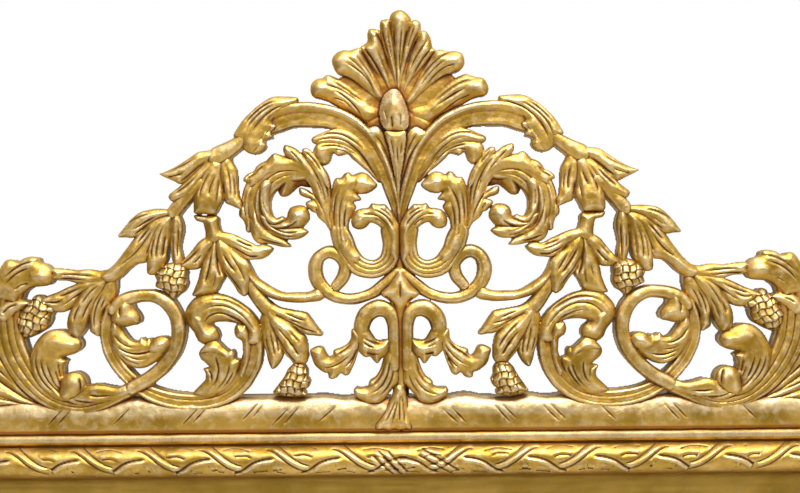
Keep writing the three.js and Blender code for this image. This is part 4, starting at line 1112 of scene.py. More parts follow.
@dataclass
class HeightMap:
    """The crest's front as heights above its back, on a square grid of points.

    Each form raises the map where it is the highest, and the piece that it belongs to owns the
    points that it raised. The reach is the distance to the outline, positive inside.
    """

    low: tuple[float, float]
    high: tuple[float, float]
    pitch: float
    margin: float = 3.0
    x: Array = field(init=False)
    z: Array = field(init=False)

    def __post_init__(self) -> None:
        """Lays out the grid."""
        across = np.arange(self.low[0], self.high[0] + self.pitch, self.pitch)
        up = np.arange(self.low[1], self.high[1] + self.pitch, self.pitch)
        self.x, self.z = np.meshgrid(across, up)
        self.reach = np.full(self.x.shape, -self.margin)
        self.height = np.full(self.x.shape, -1e3)
        self.outside_height = np.full(self.x.shape, -1e3)
        self.owner = np.full(self.x.shape, -1, np.int16)
        self.outline = np.zeros(self.x.shape, bool)
        self.normal = (self.x, self.z)

    def window(self, low: Sequence[float], high: Sequence[float]) -> Window:
        """The part of the grid between two corners.

        Args:
            low: the lower left corner.
            high: the upper right corner.

        Returns:
            Its rows and columns, as slices.
        """
        rows = [int((edge - self.low[1]) / self.pitch) for edge in (low[1], high[1])]
        columns = [int((edge - self.low[0]) / self.pitch) for edge in (low[0], high[0])]
        top, right = self.x.shape
        kept_rows = slice(max(0, rows[0]), min(top, rows[1] + 2))
        return kept_rows, slice(max(0, columns[0]), min(right, columns[1] + 2))

    def _within(self, view: Window, low: Sequence[float], high: Sequence[float]) -> tuple[slice, ...]:
        """The part of a window between two corners, as slices of that window."""
        pairs = zip(self.window(low, high), view)
        return tuple(slice(max(p.start - v.start, 0), max(p.stop - v.start, 0)) for p, v in pairs)

    def press(self, view: Window, reach: Array, height: Array, owner: int) -> None:
        """Raises the map by one form.

        Args:
            view: the form's window.
            reach: the distance to the form's own outline, positive inside.
            height: the form's height, valid a little outside it too.
            owner: the number of the piece.
        """
        inside = (reach > 0.0) & (height > self.height[view])
        self.height[view][inside] = height[inside]
        self.owner[view][inside] = owner
        nearer = reach > self.reach[view]
        self.outside_height[view][nearer] = height[nearer]
        self.reach[view][nearer] = reach[nearer]

    def press_stroke(self, form: Stroke, hand: int, owner: int, seed: int) -> None:
        """Raises the map by a stroke.

        Args:
            form: the stroke.
            hand: 1 for a left-hand form and -1 for a mirrored one, whose rim is on the other side.
            owner: the number of the piece.
            seed: varies the grooves.
        """
        line = smooth_line(form.stations, STROKE_STEP)
        half = np.maximum(line[:, 2], THINNEST)
        reach_out = half.max() + self.margin
        view = self.window(line[:, :2].min(0) - reach_out, line[:, :2].max(0) + reach_out)
        x, z = self.x[view], self.z[view]
        reach = np.full(x.shape, -self.margin)
        nearest = np.zeros(x.shape, int)
        for number, (px, pz, width) in enumerate(np.column_stack([line[:, :2], half])):
            around = width + self.margin
            near = self._within(view, (px - around, pz - around), (px + around, pz + around))
            here = width - np.hypot(x[near] - px, z[near] - pz)
            better = here > reach[near]
            reach[near][better] = here[better]
            nearest[near][better] = number
        along = np.gradient(line[:, :2], axis=0)
        along /= np.linalg.norm(along, axis=1)[:, None]
        run = np.concatenate([[0.0], np.cumsum(np.linalg.norm(np.diff(line[:, :2], axis=0), axis=1))])
        dx, dz = x - line[nearest, 0], z - line[nearest, 1]
        tx, tz = along[nearest, 0], along[nearest, 1]
        across = hand * (dz * tx - dx * tz)
        share = (run[nearest] + dx * tx + dz * tz) / run[-1]
        width = half[nearest]
        self.press(view, reach, self._section(form, reach, across, share, width, seed), owner)

    @staticmethod
    def _section(form: Stroke, reach: Array, across: Array, share: Array, width: Array, seed: int) -> Array:
        """A stroke's height.

        Args:
            form: the stroke.
            reach: distance to its outline.
            across: distance from its middle line, positive on its inner side.
            share: place along it, from 0 to 1.
            width: its half width.
            seed: varies the grooves.

        Returns:
            The height at each point.
        """
        section = form.cut.value
        rng = np.random.default_rng(seed)
        offset = np.clip(across / width, -1.0, 1.0)
        height = form.front - SLIM_SINK * unit(1.0 - width / SLIM_WIDTH)
        height = height - section.crown * np.minimum(width, CROWN_LIMIT) * offset**2
        if section.rim:
            inner = ramp(offset, -0.62, -0.1)
            inner *= 1.0 - 0.25 * ramp(offset, 0.3, 0.9)
            height -= section.rim * inner * np.minimum(1.0, width / RIM_WIDTH)
        for groove in form.grooves:
            place = groove.place + rng.uniform(-0.07, 0.07)
            start = groove.start + rng.uniform(-0.03, 0.03)
            end = groove.end + rng.uniform(-0.06, 0.03)
            shown = ramp(share, start - 0.02, start + 0.1) * (1.0 - ramp(share, end - 0.16, end))
            cut = np.exp(-np.abs(across - place * width) / (groove.width * rng.uniform(1.0, 1.5)))
            height -= GROOVE_SHARE * groove.depth * cut * shown * np.minimum(1.0, width / GROOVE_WIDTH)
        short = unit(1.0 - reach / section.shoulder)
        return height - section.drop * short**2

    def press_blade(self, form: Blade, owner: int, seed: int) -> None:
        """Raises the map by a blade.

        Args:
            form: the blade.
            owner: the number of the piece.
            seed: varies the cuts.
        """
        closed = np.array([(*point, 1.0) for point in (*form.outline, *form.outline[:3])], float)
        line = smooth_line(closed, BLADE_STEP)[:, :2]
        first = np.abs(line - closed[1, :2]).sum(1).argmin()
        last = len(line) - 1 - np.abs(line[::-1] - closed[-2, :2]).sum(1).argmin()
        line = line[first : last + 1]
        view = self.window(line.min(0) - self.margin - 1.0, line.max(0) + self.margin + 1.0)
        reach, _ = self.near_line(view, line, CROWN_SPREAD * form.bevel + 1.0)
        inside = self._inside(view, line)
        reach = np.where(inside, reach, -np.minimum(reach, self.margin))
        short = unit(1.0 - reach / (CROWN_SPREAD * form.bevel))
        height = form.front - CROWN_DEPTH * form.drop * short**2
        if form.base:
            away = np.hypot(self.x[view] - form.base[0], self.z[view] - form.base[1])
            length = np.hypot(line[:, 0] - form.base[0], line[:, 1] - form.base[1]).max()
            height -= form.base[2] * (1.0 - ramp(away / length, 0.0, 0.95))
        rng = np.random.default_rng(seed)
        for cut in form.cuts:
            path = smooth_line([(*point, 1.0) for point in cut], CUT_STEP)[:, :2]
            distance, share = self.near_line(view, path, CUT_REACH)
            start, end = rng.uniform(-0.15, 0.2), rng.uniform(0.75, 1.05)
            shown = ramp(share, start, start + 0.25) * (1.0 - ramp(share, end - 0.3, end) * 0.85)
            width = rng.uniform(1.1, 1.9)
            height -= CUT_DEPTH * rng.uniform(0.65, 1.2) * np.exp(-distance / width) * shown
        if form.scales:
            height += self._scales(self.x[view] - form.base[0], self.z[view] - form.base[1], form)
        self.press(view, reach, height, owner)

    def near_line(self, view: Window, line: Array, limit: float) -> tuple[Array, Array]:
        """Measures a window's points from a line.

        Args:
            view: the window.
            line: the line's points.
            limit: how far from the line it looks.

        Returns:
            The distance to the line, up to the limit, and the place along it from 0 to 1.
        """
        x, z = self.x[view], self.z[view]
        best, share = np.full(x.shape, limit), np.zeros(x.shape)
        for number, (a, b) in enumerate(zip(line, line[1:])):
            near = self._within(view, np.minimum(a, b) - limit, np.maximum(a, b) + limit)
            t, distance, _ = beside(x[near], z[near], a, b)
            nearer = distance < best[near]
            best[near][nearer] = distance[nearer]
            share[near][nearer] = ((number + t) / (len(line) - 1))[nearer]
        return best, share

    def _inside(self, view: Window, line: Array) -> Array:
        """Which points of a window lie inside a closed line.

        Args:
            view: the window.
            line: the line's points.

        Returns:
            True for the points inside.
        """
        x, z = self.x[view], self.z[view]
        inside = np.zeros(x.shape, bool)
        ends = np.roll(line, -1, axis=0)
        for row, level in enumerate(z[:, 0]):
            crossed = (line[:, 1] <= level) != (ends[:, 1] <= level)
            a, b = line[crossed], ends[crossed]
            places = np.sort(a[:, 0] + (level - a[:, 1]) / (b[:, 1] - a[:, 1]) * (b[:, 0] - a[:, 0]))
            inside[row] = np.searchsorted(places, x[row]) % 2 == 1
        return inside

    @staticmethod
    def _scales(x: Array, z: Array, form: Blade) -> Array:
        """The scales of a cone, in rows away from its stalk.

        Args:
            x: places across, from its base.
            z: places up, from its base.
            form: the cone.

        Returns:
            Their height over its crown.
        """
        axis = np.mean(form.outline, axis=0) - form.base[:2]
        axis /= np.linalg.norm(axis)
        along, across = x * axis[0] + z * axis[1], x * axis[1] - z * axis[0]
        rows = along / form.scales + 0.12 * np.sin(across * 0.35)
        row = np.floor(rows)
        columns = across / (1.05 * form.scales) + 0.2 * (row % 2) + 0.14 * np.sin(along * 0.22)
        low = rows - row
        side = np.abs(columns - np.floor(columns) - 0.5) * 2.0
        return 2.4 * low - 2.2 * side**6 - 2.6 * ramp(low, 0.84, 1.0)

    def weather(self, seed: int) -> None:
        """Adds the gouge's small facets, an uneven outline and rounded edges.

        Args:
            seed: varies them.
        """
        open_air = self.height < -100.0
        self.height[open_air] = self.outside_height[open_air]
        cells = self.height.shape
        for grain, amount in FACETS:
            size = grain / self.pitch
            self.height += amount * smooth_noise(cells, (size, size), seed + int(grain))
        size = OUTLINE_WAVE[0] / self.pitch
        self.reach += OUTLINE_WAVE[1] * smooth_noise(cells, (size, size), seed + 5)
        short = unit(1.0 - self.reach / EDGE_RADIUS)
        self.height -= EDGE_DROP * (1.0 - np.sqrt(unit(1.0 - short**2)))

    def settle_outline(self) -> None:
        """Moves the points beside the outline onto it, so that the outline is smooth."""
        kept = self.cells()
        touched = np.zeros(self.x.shape, bool)
        full = np.ones(self.x.shape, bool)
        for corner in CORNERS:
            touched[corner] |= kept
            full[corner] &= kept
        self.outline = touched & ~full
        up, right = np.gradient(self.reach, self.pitch)
        steep = np.sqrt(np.maximum(up**2 + right**2, 0.2))
        self.normal = (right / steep, up / steep)
        limit = 0.8 * self.pitch
        step = np.clip(-self.reach / steep, -limit, limit) * self.outline
        self.x = self.x + step * self.normal[0]
        self.z = self.z + step * self.normal[1]

    def cells(self) -> Array:
        """Which cells lie on the carving."""
        return sum(self.reach[corner] for corner in CORNERS) > 0.0

    def cell_owners(self) -> Array:
        """Finds the piece that each cell belongs to.

        Returns:
            The number of the piece that owns its highest corner.
        """
        owners = np.stack([self.owner[corner] for corner in CORNERS])
        heights = np.where(owners >= 0, np.stack([self.height[corner] for corner in CORNERS]), -1e6)
        return np.take_along_axis(owners, heights.argmax(0)[None], 0)[0]

    def shades(self) -> dict[str, Array]:
        """Reads creases, hollows and ridges off the map, for the gilding: soiling and painted shade in the
        creases, painted shade in the hollows, painted highlights on convex places.

        Returns:
            Numbers from 0 to 1 at each point, by attribute name.
        """
        weight = (self.reach > 0.0).astype(float)
        inner, deep = ramp(self.reach, 0.2, 2.5), ramp(self.reach, 0.6, 5.0)
        fine = soften(self.height, weight, 1.3 / self.pitch) - self.height
        broad = soften(self.height, weight, 5.0 / self.pitch) - self.height
        return {
            # soiling and painted shade in narrow creases
            "crease": unit(fine / 0.75) * inner,
            # painted shade in concave places
            "hollow": unit(broad / 3.0) * (0.1 + 0.9 * deep),
            # painted highlight on convex places
            "ridge": unit(np.maximum(-fine / 0.55, -broad / 2.4)) * inner,
        }


@dataclass
class Crest:
    """The pierced carving on the top rail, with the base log that it stands on."""

    pitch: float = 0.95
    low: Point = (-572.0, -2.0)
    high: Point = (572.0, 516.0)
    log_inner: float = 1.0
    log_outer: float = 560.0
    log_height: float = 42.0
    log_front: float = 33.0
    log_back: float = -28.0
    log_wave: float = 2.2  # unevenness of its top
    log_fall: float = 13.0  # fall of its rounded top
    log_tuck: float = 3.5  # fall of its foot
    nick_depth: float = 3.0
    nick_width: float = 1.2
    wall_rows: tuple[float, ...] = (0.3, 0.65)  # where the walls have points, from front to back
    wall_bulge: float = 0.35
    back_inset: float = 1.2

    def build(self, finishes: Finishes) -> list[bpy.types.Object]:
        """Carves the crest and makes its pieces.

        Args:
            finishes: the materials.

        Returns:
            The pieces.
        """
        carving = HeightMap(self.low, self.high, self.pitch)
        names: list[str] = []
        for name, forms in self._pieces():
            names.append(name)
            self._press_forms(carving, forms, name.endswith("_right"), len(names) - 1)
        for side, sign in (("left", -1), ("right", 1)):
            names.append(f"crest_log_{side}")
            self._press_log(carving, sign, len(names) - 1)
        carving.weather(11)
        shades = carving.shades()
        # Painted shade: the groove along the log's foot is painted as a hollow.
        groove = 1.0 - ramp(carving.z, 1.0, 6.5)
        shades["hollow"] = np.maximum(shades["hollow"], groove)
        on_log = carving.owner >= len(names) - 2
        # Painted highlight: the log's upper half is painted paler, as if lit from above.
        log_top_highlight = 0.75 * ramp(carving.z, 12.0, 26.0) * on_log
        shades["ridge"] = np.maximum(shades["ridge"], log_top_highlight)
        owners = np.where(carving.cells(), carving.cell_owners(), -1)
        carving.settle_outline()
        return [self._piece(carving, owners == k, shades, name, finishes) for k, name in enumerate(names)]

    @staticmethod
    def _pieces() -> Iterator[tuple[str, list[Stroke | Blade]]]:
        """Lists the carved pieces, left and right.

        Yields:
            A piece's name and forms.
        """
        yield from SINGLE_PIECES.items()
        for name, forms in PAIRED_PIECES.items():
            yield f"{name}_left", forms
            yield f"{name}_right", [mirrored(form) for form in forms]

    @staticmethod
    def _press_forms(carving: HeightMap, forms: Sequence[Stroke | Blade], right: bool, owner: int) -> None:
        """Presses a piece's forms into the height map.

        Args:
            carving: the height map.
            forms: the piece's forms.
            right: whether they are mirrored ones.
            owner: the number of the piece.
        """
        for seed, form in enumerate(forms, 100 * owner):
            if isinstance(form, Stroke):
                carving.press_stroke(form, -1 if right else 1, owner, seed)
            else:
                carving.press_blade(form, owner, seed)

    def _press_log(self, carving: HeightMap, sign: int, owner: int) -> None:
        """Presses one half of the base log into the height map.

        Args:
            carving: the height map.
            sign: -1 for the left half, 1 for the right.
            owner: the number of the piece.
        """
        ends = sorted((sign * self.log_inner, sign * self.log_outer))
        view = carving.window((ends[0] - 2.0, -2.0), (ends[1] + 2.0, self.log_height + 8.0))
        x, z = carving.x[view], carving.z[view]
        wave = smooth_noise(x.shape, (1e6, 26.0 / carving.pitch), 40 + owner)
        top = self.log_height + self.log_wave * wave
        share = unit(z / top)
        round_top = unit((share - 0.5) / 0.5) ** 2.2
        round_foot = unit((0.34 - share) / 0.34) ** 2.0
        height = self.log_front - self.log_fall * (1.0 - np.sqrt(1.0 - 0.98 * round_top))
        height -= self.log_tuck * round_foot
        height += 0.7 * smooth_noise(x.shape, (16.0 / carving.pitch, 34.0 / carving.pitch), 50 + owner)
        reach = np.minimum.reduce([z - MITRE_GAP, top - z, x - ends[0], ends[1] - x])
        for low_x, low_z, high_x, high_z in LOG_NICKS:
            if sign * low_x > 0:
                line = np.array([(low_x, low_z), (high_x, high_z)])
                away, share = carving.near_line(view, line, 9.0)
                shown = 1.0 - 0.6 * np.abs(2.0 * share - 1.0)
                height -= self.nick_depth * np.exp(-away / self.nick_width) * shown
        carving.press(view, reach, height, owner)

    def _piece(
        self, carving: HeightMap, mine: Array, shades: dict[str, Array], name: str,
        finishes: Finishes,
    ) -> bpy.types.Object:
        """Makes one piece's closed mesh: its cells of the map, walls and a flat back.

        Args:
            carving: the height map.
            mine: which cells belong to the piece.
            shades: numbers for the gilding at each point.
            name: the piece's node.
            finishes: the materials.

        Returns:
            The piece.
        """
        rows, columns = np.nonzero(mine)
        window = (slice(rows.min(), rows.max() + 2), slice(columns.min(), columns.max() + 2))
        mine = mine[window[0].start : window[0].stop - 1, window[1].start : window[1].stop - 1]
        used, faces, edges = self._faces(mine)
        count = int(used.sum())
        rim = np.unique(edges)
        rim_number = np.full(count, -1)
        rim_number[rim] = np.arange(len(rim))

        x, z, height, right, up, free = (
            array[window][used]
            for array in (carving.x, carving.z, carving.height, *carving.normal, carving.outline)
        )
        front = np.column_stack([x, height, z])
        inset = np.where(free, self.back_inset, 0.0)
        back = np.full(count, self.log_back if name.startswith("crest_log") else 0.0)
        rear = np.column_stack([x + inset * right, back, z + inset * up])
        layers, side = [front, rear], [np.zeros(count), np.ones(count)]
        bulge = smooth_noise((len(self.wall_rows), count), (1.0, 9.0), 70)
        levels = [rim]
        for number, share in enumerate(self.wall_rows):
            points = front[rim] * (1.0 - share) + rear[rim] * share
            push = self.wall_bulge * bulge[number, rim] * free[rim]
            points[:, 0] += push * right[rim]
            points[:, 2] += push * up[rim]
            levels.append(2 * count + number * len(rim) + np.arange(len(rim)))
            layers.append(points)
            # the walls take more dark timber towards the back: bare wood and painted shade
            side.append(np.full(len(rim), min(1.0, 0.55 + share)))
        levels.append(rim + count)
        first, second = rim_number[edges[:, 0]], rim_number[edges[:, 1]]
        walls = [
            np.column_stack([upper[second], upper[first], lower[first], lower[second]])
            for upper, lower in zip(levels, levels[1:])
        ]
        quads = np.vstack([faces, *walls, faces[:, ::-1] + count])
        slots = (np.arange(len(quads)) >= len(quads) - len(faces)).astype(int)
        x, depth, z = np.vstack(layers).T
        placed = np.column_stack([x, WALL_Y - CREST_BACK_DEPTH - depth, FRAME_HEIGHT + z]) * MM
        paint = {"side": np.concatenate(side)}
        for key, values in shades.items():
            here = values[window][used]
            paint[key] = np.concatenate([here, np.zeros(count)] + [here[rim] * 0.5] * len(self.wall_rows))
        made = mesh_object(f"carved_{name}", placed, quads, [finishes.gilding, finishes.timber], slots, paint)
        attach(made, "frame")
        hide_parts(name)
        return made

    @staticmethod
    def _faces(mine: Array) -> tuple[Array, Array, Array]:
        """The faces of a patch of cells.

        Args:
            mine: which cells belong to the patch.

        Returns:
            Which points of the grid it uses, its faces, and the edges around it.
        """
        used = np.zeros((mine.shape[0] + 1, mine.shape[1] + 1), bool)
        for corner in CORNERS:
            used[corner] |= mine
        index = np.full(used.shape, -1)
        index[used] = np.arange(used.sum())
        r, c = np.nonzero(mine)
        corners = [index[r, c], index[r, c + 1], index[r + 1, c + 1], index[r + 1, c]]
        padded = np.pad(mine, 1)
        edges = []
        for k, (down, right) in enumerate(((-1, 0), (0, 1), (1, 0), (0, -1))):
            bare = ~padded[r + 1 + down, c + 1 + right]
            edges.append(np.column_stack([corners[k][bare], corners[(k + 1) % 4][bare]]))
        return used, np.column_stack(corners), np.vstack(edges)


# ---- The frame's moulding -------------------------------------------------------------------
def arc(centre: Point, radii: Point, start: float, end: float, steps: int) -> list[Point]:
    """Points of an elliptical arc between two angles in degrees."""
    angles = np.radians(np.linspace(start, end, steps + 1))
    return [(centre[0] + radii[0] * math.cos(t), centre[1] + radii[1] * math.sin(t)) for t in angles]


@dataclass
class Moulding:
    """The frame's rails: bead, carved roll, hollow and sight bead, mitred at the corners."""

    width: float = 116.0
    torus_start: float = 16.0
    torus_end: float = 52.0
    torus_rise: float = 18.9
    first: float = 24.0  # from the middle to the first repeat of the carving
    period: float = 79.0
    rails: tuple[tuple[str, float, float], ...] = (  # node, length, distance between its sections
        ("top_rail", FRAME_WIDTH, 1.5),
        ("bottom_rail", FRAME_WIDTH, 2.2),
        ("left_stile", FRAME_HEIGHT, 2.2),
        ("right_stile", FRAME_HEIGHT, 2.2),
    )

    def section(self) -> list[Point]:
        """Draws the rails' section, once round.

        Returns:
            Its points: distance in from the outer edge, depth from the wall.
        """
        middle = (self.torus_start + self.torus_end) / 2
        half = middle - self.torus_start
        return [
            (0, BACK_DEPTH), (0, 24), (0, 46),
            *arc((6.6, 60.5), (7.6, 6.5), 150, 0, 12),
            (14.6, 59.4), (15.4, 59.4),
            *arc((middle, 62), (half, self.torus_rise), 180, 0, 44),
            (52.4, 58.2), (53.6, 58),
            *arc((102, 58), (48, 24), 180, 270, 14),
            (103.8, 34),
            *arc((110, 34), (6, 6), 180, 0, 10),
            (self.width, 26), (96, 26), (96, BACK_DEPTH),
        ]

    def build(self, finishes: Finishes) -> list[bpy.types.Object]:
        """Makes the four rails.

        Args:
            finishes: the materials.

        Returns:
            The rails.
        """
        return [self._rail(name, length, pitch, finishes) for name, length, pitch in self.rails]

    def _rail(self, name: str, length: float, pitch: float, finishes: Finishes) -> bpy.types.Object:
        """Makes one rail in its own frame and turns it into place.

        Args:
            name: the rail's node.
            length: its outer length.
            pitch: the distance between its sections.
            finishes: the materials.

        Returns:
            The rail.
        """
        section = np.array(self.section(), float)
        inward, depth = section[:, 0], section[:, 1]
        seed = sum(map(ord, name))
        columns = math.ceil(length / pitch) + 1
        share = np.linspace(-1.0, 1.0, columns)
        reach = length / 2 - MITRE_GAP / math.sqrt(2) - inward
        x = share[:, None] * reach[None, :]
        down = np.broadcast_to(inward[None, :], x.shape)
        rise = self._carving(x, down, length, seed)
        roll = (down > self.torus_start) & (down < self.torus_end) & (depth[None, :] > 57)
        rise = rise * roll
        wobble = 0.35 * smooth_noise(x.shape, (60.0 / pitch, 9.0), seed + 3)
        wobble = wobble * ((depth > 30) & (inward < self.width))[None, :]
        rows = len(section)
        points = np.column_stack([x.ravel(), (depth[None, :] + rise + wobble).ravel(), -down.ravel()])
        number = np.arange(columns * rows).reshape(columns, rows)
        nxt = np.roll(number, -1, axis=1)
        corners = (number[:-1], nxt[:-1], nxt[1:], number[1:])
        quads = np.column_stack([corner.ravel() for corner in corners])
        is_back = np.zeros(rows, int)
        is_back[[0, -3, -2, -1]] = 1
        slots = np.tile(is_back, columns - 1)
        ends = [list(number[0][::-1]), list(number[-1])]
        timber = finishes.boards if name.endswith("stile") else finishes.timber
        paint = self._shades(inward, depth, rise, pitch)
        materials = [finishes.moulding, timber]
        placed = self._placed(points, name)
        made = mesh_object(f"moulded_{name}", placed, quads, materials, slots, paint, ends, 40.0)
        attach(made, "frame")
        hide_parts(name)
        return made

    @staticmethod
    def _placed(points: Array, name: str) -> Array:
        """Turns a rail into place.

        Args:
            points: its own points (along, depth, up).
            name: its node.

        Returns:
            The points in the frame's metres.
        """
        along, depth, up = points.T
        x, z = {
            "top_rail": (along, FRAME_HEIGHT + up),
            "bottom_rail": (-along, -up),
            "left_stile": (-FRAME_WIDTH / 2 - up, FRAME_HEIGHT / 2 + along),
            "right_stile": (FRAME_WIDTH / 2 + up, FRAME_HEIGHT / 2 - along),
        }[name]
        return np.column_stack([x, WALL_Y - depth, z]) * MM

    @staticmethod
    def _shades(inward: Array, depth: Array, rise: Array, pitch: float) -> dict[str, Array]:
        """Numbers for the gilding at each point of a rail, with its painted shade and painted highlights.

        Args:
            inward: the section's distances in from the outer edge.
            depth: the section's depths.
            rise: the carving's height.
            pitch: the distance between sections.

        Returns:
            The numbers, by attribute name.
        """
        even = np.ones(rise.shape)
        fine = soften(rise, even, 1.0) - rise
        # the rail's outer edge: bare timber and painted shade, darker towards the wall
        outer = (inward < 0.5) * ramp(60 - depth, 0.0, 12.0)
        # Painted shade: the quirks beside the bead and the roll, and the groove under the log.
        quirks = (
            0.8 * np.exp(-np.abs(inward - 14.4) / 1.8) * (depth < 63),  # between bead and roll
            0.7 * np.exp(-np.abs(inward - 52.8) / 1.8) * (depth < 62),  # between roll and hollow
            0.6 * (np.exp(-inward / 1.6) * (depth > 55)),  # under the log
        )
        hollow = np.maximum.reduce(quirks)[None, :] * even
        # Painted highlight: a pale band along the bead's crown.
        bead = 0.9 * ramp(inward, 1.5, 4.5) * (1.0 - ramp(inward, 8.0, 12.5)) * (depth > 60)
        # Painted shade: the broad hollow under the roll, darkest next to the roll and lighter towards the
        # sight edge.
        cove_shade = ramp(inward, 53.0, 55.0) * (1.0 - 0.55 * ramp(inward, 66.0, 100.0)) * (inward < 103.0)
        streak = smooth_noise(rise.shape, (46.0 / pitch, 0.8), 77)
        return {
            # soiling and painted shade in the carving's cuts
            "crease": unit(fine / 0.5).ravel(),
            # painted highlight on convex places and the bead
            "ridge": unit(-fine / 0.45 + bead[None, :]).ravel(),
            # painted shade in the quirks and the fine hollows of the roll's carving
            "hollow": unit(hollow + np.clip(fine, 0.0, 0.6)).ravel(),
            "side": (outer[None, :] * even).ravel() * 0.8,
            # painted shade in the broad hollow, with faint streaks
            "cove_shade": (cove_shade[None, :] * (0.8 + 0.2 * streak)).ravel(),
        }

    def _carving(self, x: Array, down: Array, length: float, seed: int) -> Array:
        """The roll's carved ribbons and leaves, as a height.

        Args:
            x: places along the rail, with 0 at its middle.
            down: distances in from the outer edge.
            length: the rail's length.
            seed: varies the strokes.

        Returns:
            The height at each point.
        """
        rng = np.random.default_rng(seed)
        rise = np.zeros(x.shape)
        count = int(length / 2 / self.period) + 1
        for side in (-1, 1):
            for number in range(count):
                start = self.first + self.period * number + rng.uniform(-3.0, 3.0)
                self._motif(rise, -side * x - start, down, rng)
        for line, lip in (
            (((-32, 23), (-18, 37), (-5, 50)), 1.0),
            (((-20, 24), (-6, 39), (6, 51)), 1.0),
            (((20, 22), (38, 32), (68, 50)), -1.0),
        ):
            self._incise(rise, x, down, line, 2.4, lip, rib=1.6)
        return rise

    def _motif(self, rise: Array, x: Array, down: Array, rng: np.random.Generator) -> None:
        """Cuts one repeat: a folded ribbon, its leaf edge and the leaf's veins.

        Args:
            rise: the height, which is changed.
            x: places along the rail from the repeat's start, away from the middle.
            down: distances in from the outer edge.
            rng: varies the strokes.
        """
        ribbon = ((62, 15), (52, 17), (40, 24), (28, 33), (16, 40), (2, 44))
        edge = ((20, 49), (6, 43), (-6, 35), (-18, 31), (-34, 29))
        self._incise(rise, x, down, ribbon, 2.2, 0.0, rib=2.2)
        self._incise(rise, x, down, edge, 3.0, -2.0, width=rng.uniform(1.3, 2.2))
        for vein in (
            ((30, 20), (10, 18), (-8, 22)),
            ((22, 28), (8, 27), (-2, 30)),
            ((-2, 47), (-14, 46), (-22, 45)),
            ((-28, 45), (-40, 43)),
            ((44, 44), (32, 47)),
        ):
            shift = rng.uniform(-4.0, 4.0, 2) * (1.0, 0.5)
            line = [(a + shift[0], b + shift[1]) for a, b in vein]
            self._incise(rise, x, down, line, rng.uniform(1.0, 2.2), 0.8, width=rng.uniform(0.9, 2.0))

    @staticmethod
    def _incise(
        rise: Array, x: Array, down: Array, line: Sequence[Point],
        depth: float, lip: float, width: float = 1.3, rib: float = 0.0,
    ) -> None:
        """Cuts a line into the roll, with a raised lip on one side.

        Args:
            rise: the height, which is changed.
            x: places along the rail.
            down: distances in from the outer edge.
            line: the line's points (along, in).
            depth: the cut's depth.
            lip: the lip's height, negative on the other side.
            width: the cut's width.
            rib: the height of a rib that the line becomes, with a cut on each side.
        """
        points = smooth_line([(a, b, 1.0) for a, b in line], 3.0)[:, :2]
        near = (x[:, :1] > points[:, 0].min() - 14) & (x[:, :1] < points[:, 0].max() + 14)
        rows = np.nonzero(near[:, 0])[0]
        if not len(rows):
            return
        view = slice(rows.min(), rows.max() + 1)
        px, pz = x[view], down[view]
        best = np.full(px.shape, 1e9)
        side = np.zeros(px.shape)
        share = np.zeros(px.shape)
        for number, (a, b) in enumerate(zip(points, points[1:])):
            t, distance, turn = beside(px, pz, a, b)
            nearer = distance < best
            best[nearer] = distance[nearer]
            side[nearer] = turn[nearer]
            share[nearer] = ((number + t) / (len(points) - 1))[nearer]
        fade = ramp(share, -0.01, 0.12) * (1.0 - ramp(share, 0.85, 1.01))
        cut_at = 4.2 if rib else 0.0
        cut = depth * np.exp(-np.abs(best - cut_at) / width)
        rise[view] += (rib * np.exp(-((best / 3.0) ** 2)) - cut) * fade
        if lip:
            offset = np.where(side * np.sign(lip) > 0, best, 1e3)
            rise[view] += abs(lip) * np.exp(-(((offset - cut_at - 3.6) / 3.0) ** 2)) * fade


# ---- Pieces that keep their CAD shape ---------------------------------------------------------
@dataclass(frozen=True)
class KeptParts:
    """CAD nodes whose shape is right and which only take a finish."""

    finish_of: tuple[tuple[str, str], ...] = (  # start of the node's name, finish
        ("mirror_plate", "glass"),
        ("backboard", "boards"),
        ("crest_batten", "boards"),
        ("corner_brace", "iron"),
        ("crest_strap", "iron"),
        ("hanger_screw", "iron"),
        ("hanger_plate", "brass"),
        ("hanger_ring", "brass"),
        ("wall_pad", "felt"),
    )

    def dress(self, finishes: Finishes) -> None:
        """Gives each kept node its material.

        Args:
            finishes: the materials.
        """
        for name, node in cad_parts.items():
            for start, finish in self.finish_of:
                if name.startswith(start):
                    for slot in node.material_slots:
                        slot.material = getattr(finishes, finish)
                    log.info("dressed %s in %s", name, finish)


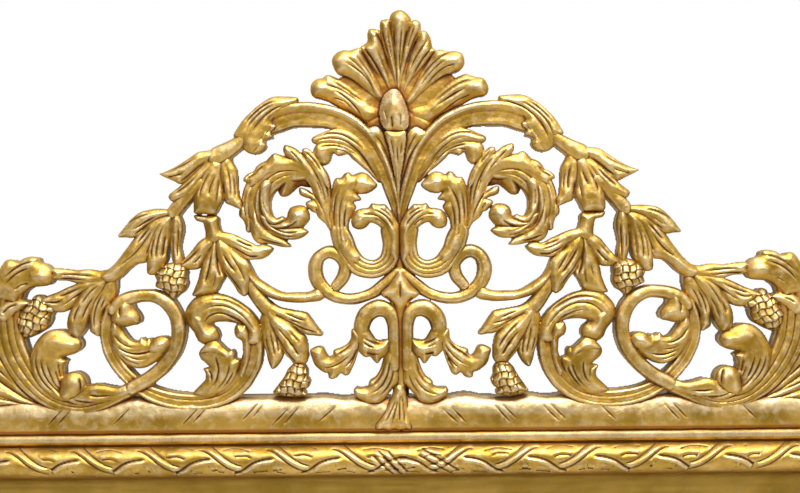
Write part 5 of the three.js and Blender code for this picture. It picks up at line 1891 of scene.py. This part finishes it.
# ---- Studio -----------------------------------------------------------------------------------
@dataclass(frozen=True)
class Studio:
    """Camera, floor and soft light."""

    camera_place: tuple[float, float, float] = (0.0004, -1.829, 1.723)
    lens: float = 67.5
    roll: float = 0.52

    def build(self) -> None:
        """Sets up camera, floor, lamps and surroundings."""
        self._camera()
        self._floor()
        self._world()
        self._lamp("key_softbox", (0.3, -1.1, 3.5), (0.05, 0.0, 1.75), (1.5, 1.0), 64.0)
        self._lamp("front_fill", (-0.9, -3.2, 2.3), (0.0, 0.0, 1.6), (1.6, 2.0), 9.0)
        self._lamp("side_fill", (2.6, -1.6, 2.0), (0.0, 0.0, 1.6), (1.6, 2.0), 11.0)

    def _camera(self) -> None:
        """Places the camera at the photograph's viewpoint."""
        data = bpy.data.cameras.new("photograph_camera")
        data.lens = self.lens
        data.sensor_width = 36.0
        data.clip_start = 0.05
        camera = bpy.data.objects.new("photograph_camera", data)
        camera.location = self.camera_place
        camera.rotation_euler = (math.radians(90.0), math.radians(self.roll), 0.0)
        bpy.context.scene.collection.objects.link(camera)
        bpy.context.scene.camera = camera

    @staticmethod
    def _floor() -> None:
        """Lays a plain pale floor under the mirror."""
        bpy.ops.mesh.primitive_plane_add(size=9.0, location=(0.0, 0.0, 0.0))
        floor = bpy.context.object
        floor.name = "floor"
        recipe = Recipe("pale_floor")
        cloud = recipe.noise(recipe.place(), 0.6, 2.0)
        colour = recipe.mix(cloud, (0.78, 0.77, 0.75), (0.82, 0.81, 0.79))
        floor.data.materials.append(recipe.finish(Base_Color=colour, Roughness=0.7))

    @staticmethod
    def _world() -> None:
        """Surrounds the scene with white that lights it softly, brighter above."""
        world = bpy.data.worlds.new("white_surroundings")
        world.use_nodes = True
        bpy.context.scene.world = world
        graph = Graph(world.node_tree)
        place = graph.node("ShaderNodeTexCoord").outputs["Generated"]
        split = graph.node("ShaderNodeSeparateXYZ", None, {0: place}).outputs
        up = graph.node("ShaderNodeMapRange", None, {0: split["Z"], 1: -1.0, 2: 1.0}).outputs[0]
        stops = ((0.4, (0.12, 0.075, 0.012)), (0.62, (0.5, 0.4, 0.2)), (0.85, (1.0, 0.99, 0.98)))
        grade = graph.node("ShaderNodeValToRGB", {"stops": stops}, {0: up}).outputs[0]
        behind = graph.node("ShaderNodeMapRange", None, {0: split["Y"], 1: 0.1, 2: 0.6}).outputs[0]
        colour = graph.mix(behind, grade, (0.9, 0.86, 0.78))
        light = graph.node("ShaderNodeBackground", None, {"Color": colour}).outputs[0]
        seen = graph.node("ShaderNodeBackground", None, {"Color": (1.0, 1.0, 1.0)}).outputs[0]
        direct = graph.node("ShaderNodeLightPath").outputs["Is Camera Ray"]
        mixed = graph.node("ShaderNodeMixShader", None, {0: direct, 1: light, 2: seen}).outputs[0]
        graph.node("ShaderNodeOutputWorld", None, {"Surface": mixed})

    @staticmethod
    def _lamp(
        name: str,
        place: tuple[float, float, float],
        target: tuple[float, float, float],
        size: tuple[float, float],
        power: float,
    ) -> None:
        """Adds a soft box.

        Args:
            name: its name.
            place: where it stands.
            target: what it faces.
            size: its width and height in metres.
            power: its power in watts.
        """
        data = bpy.data.lights.new(name, "AREA")
        data.shape = "RECTANGLE"
        data.size, data.size_y = size
        data.energy = power
        lamp = bpy.data.objects.new(name, data)
        lamp.location = place
        lamp.rotation_euler = (Vector(target) - Vector(place)).to_track_quat("-Z", "Y").to_euler()
        bpy.context.scene.collection.objects.link(lamp)


def main() -> None:
    """Builds the studio and the mirror, piece by piece."""
    logging.basicConfig(level=logging.INFO, format="%(message)s")
    bpy.context.scene.view_settings.view_transform = "Standard"
    Studio().build()
    finishes = Finishes.make()
    for builder in (Moulding(), Crest()):
        for piece in builder.build(finishes):
            log.info("%s: %d faces", piece.name, len(piece.data.polygons))
    KeptParts().dress(finishes)


if __name__ == "__main__":
    main()
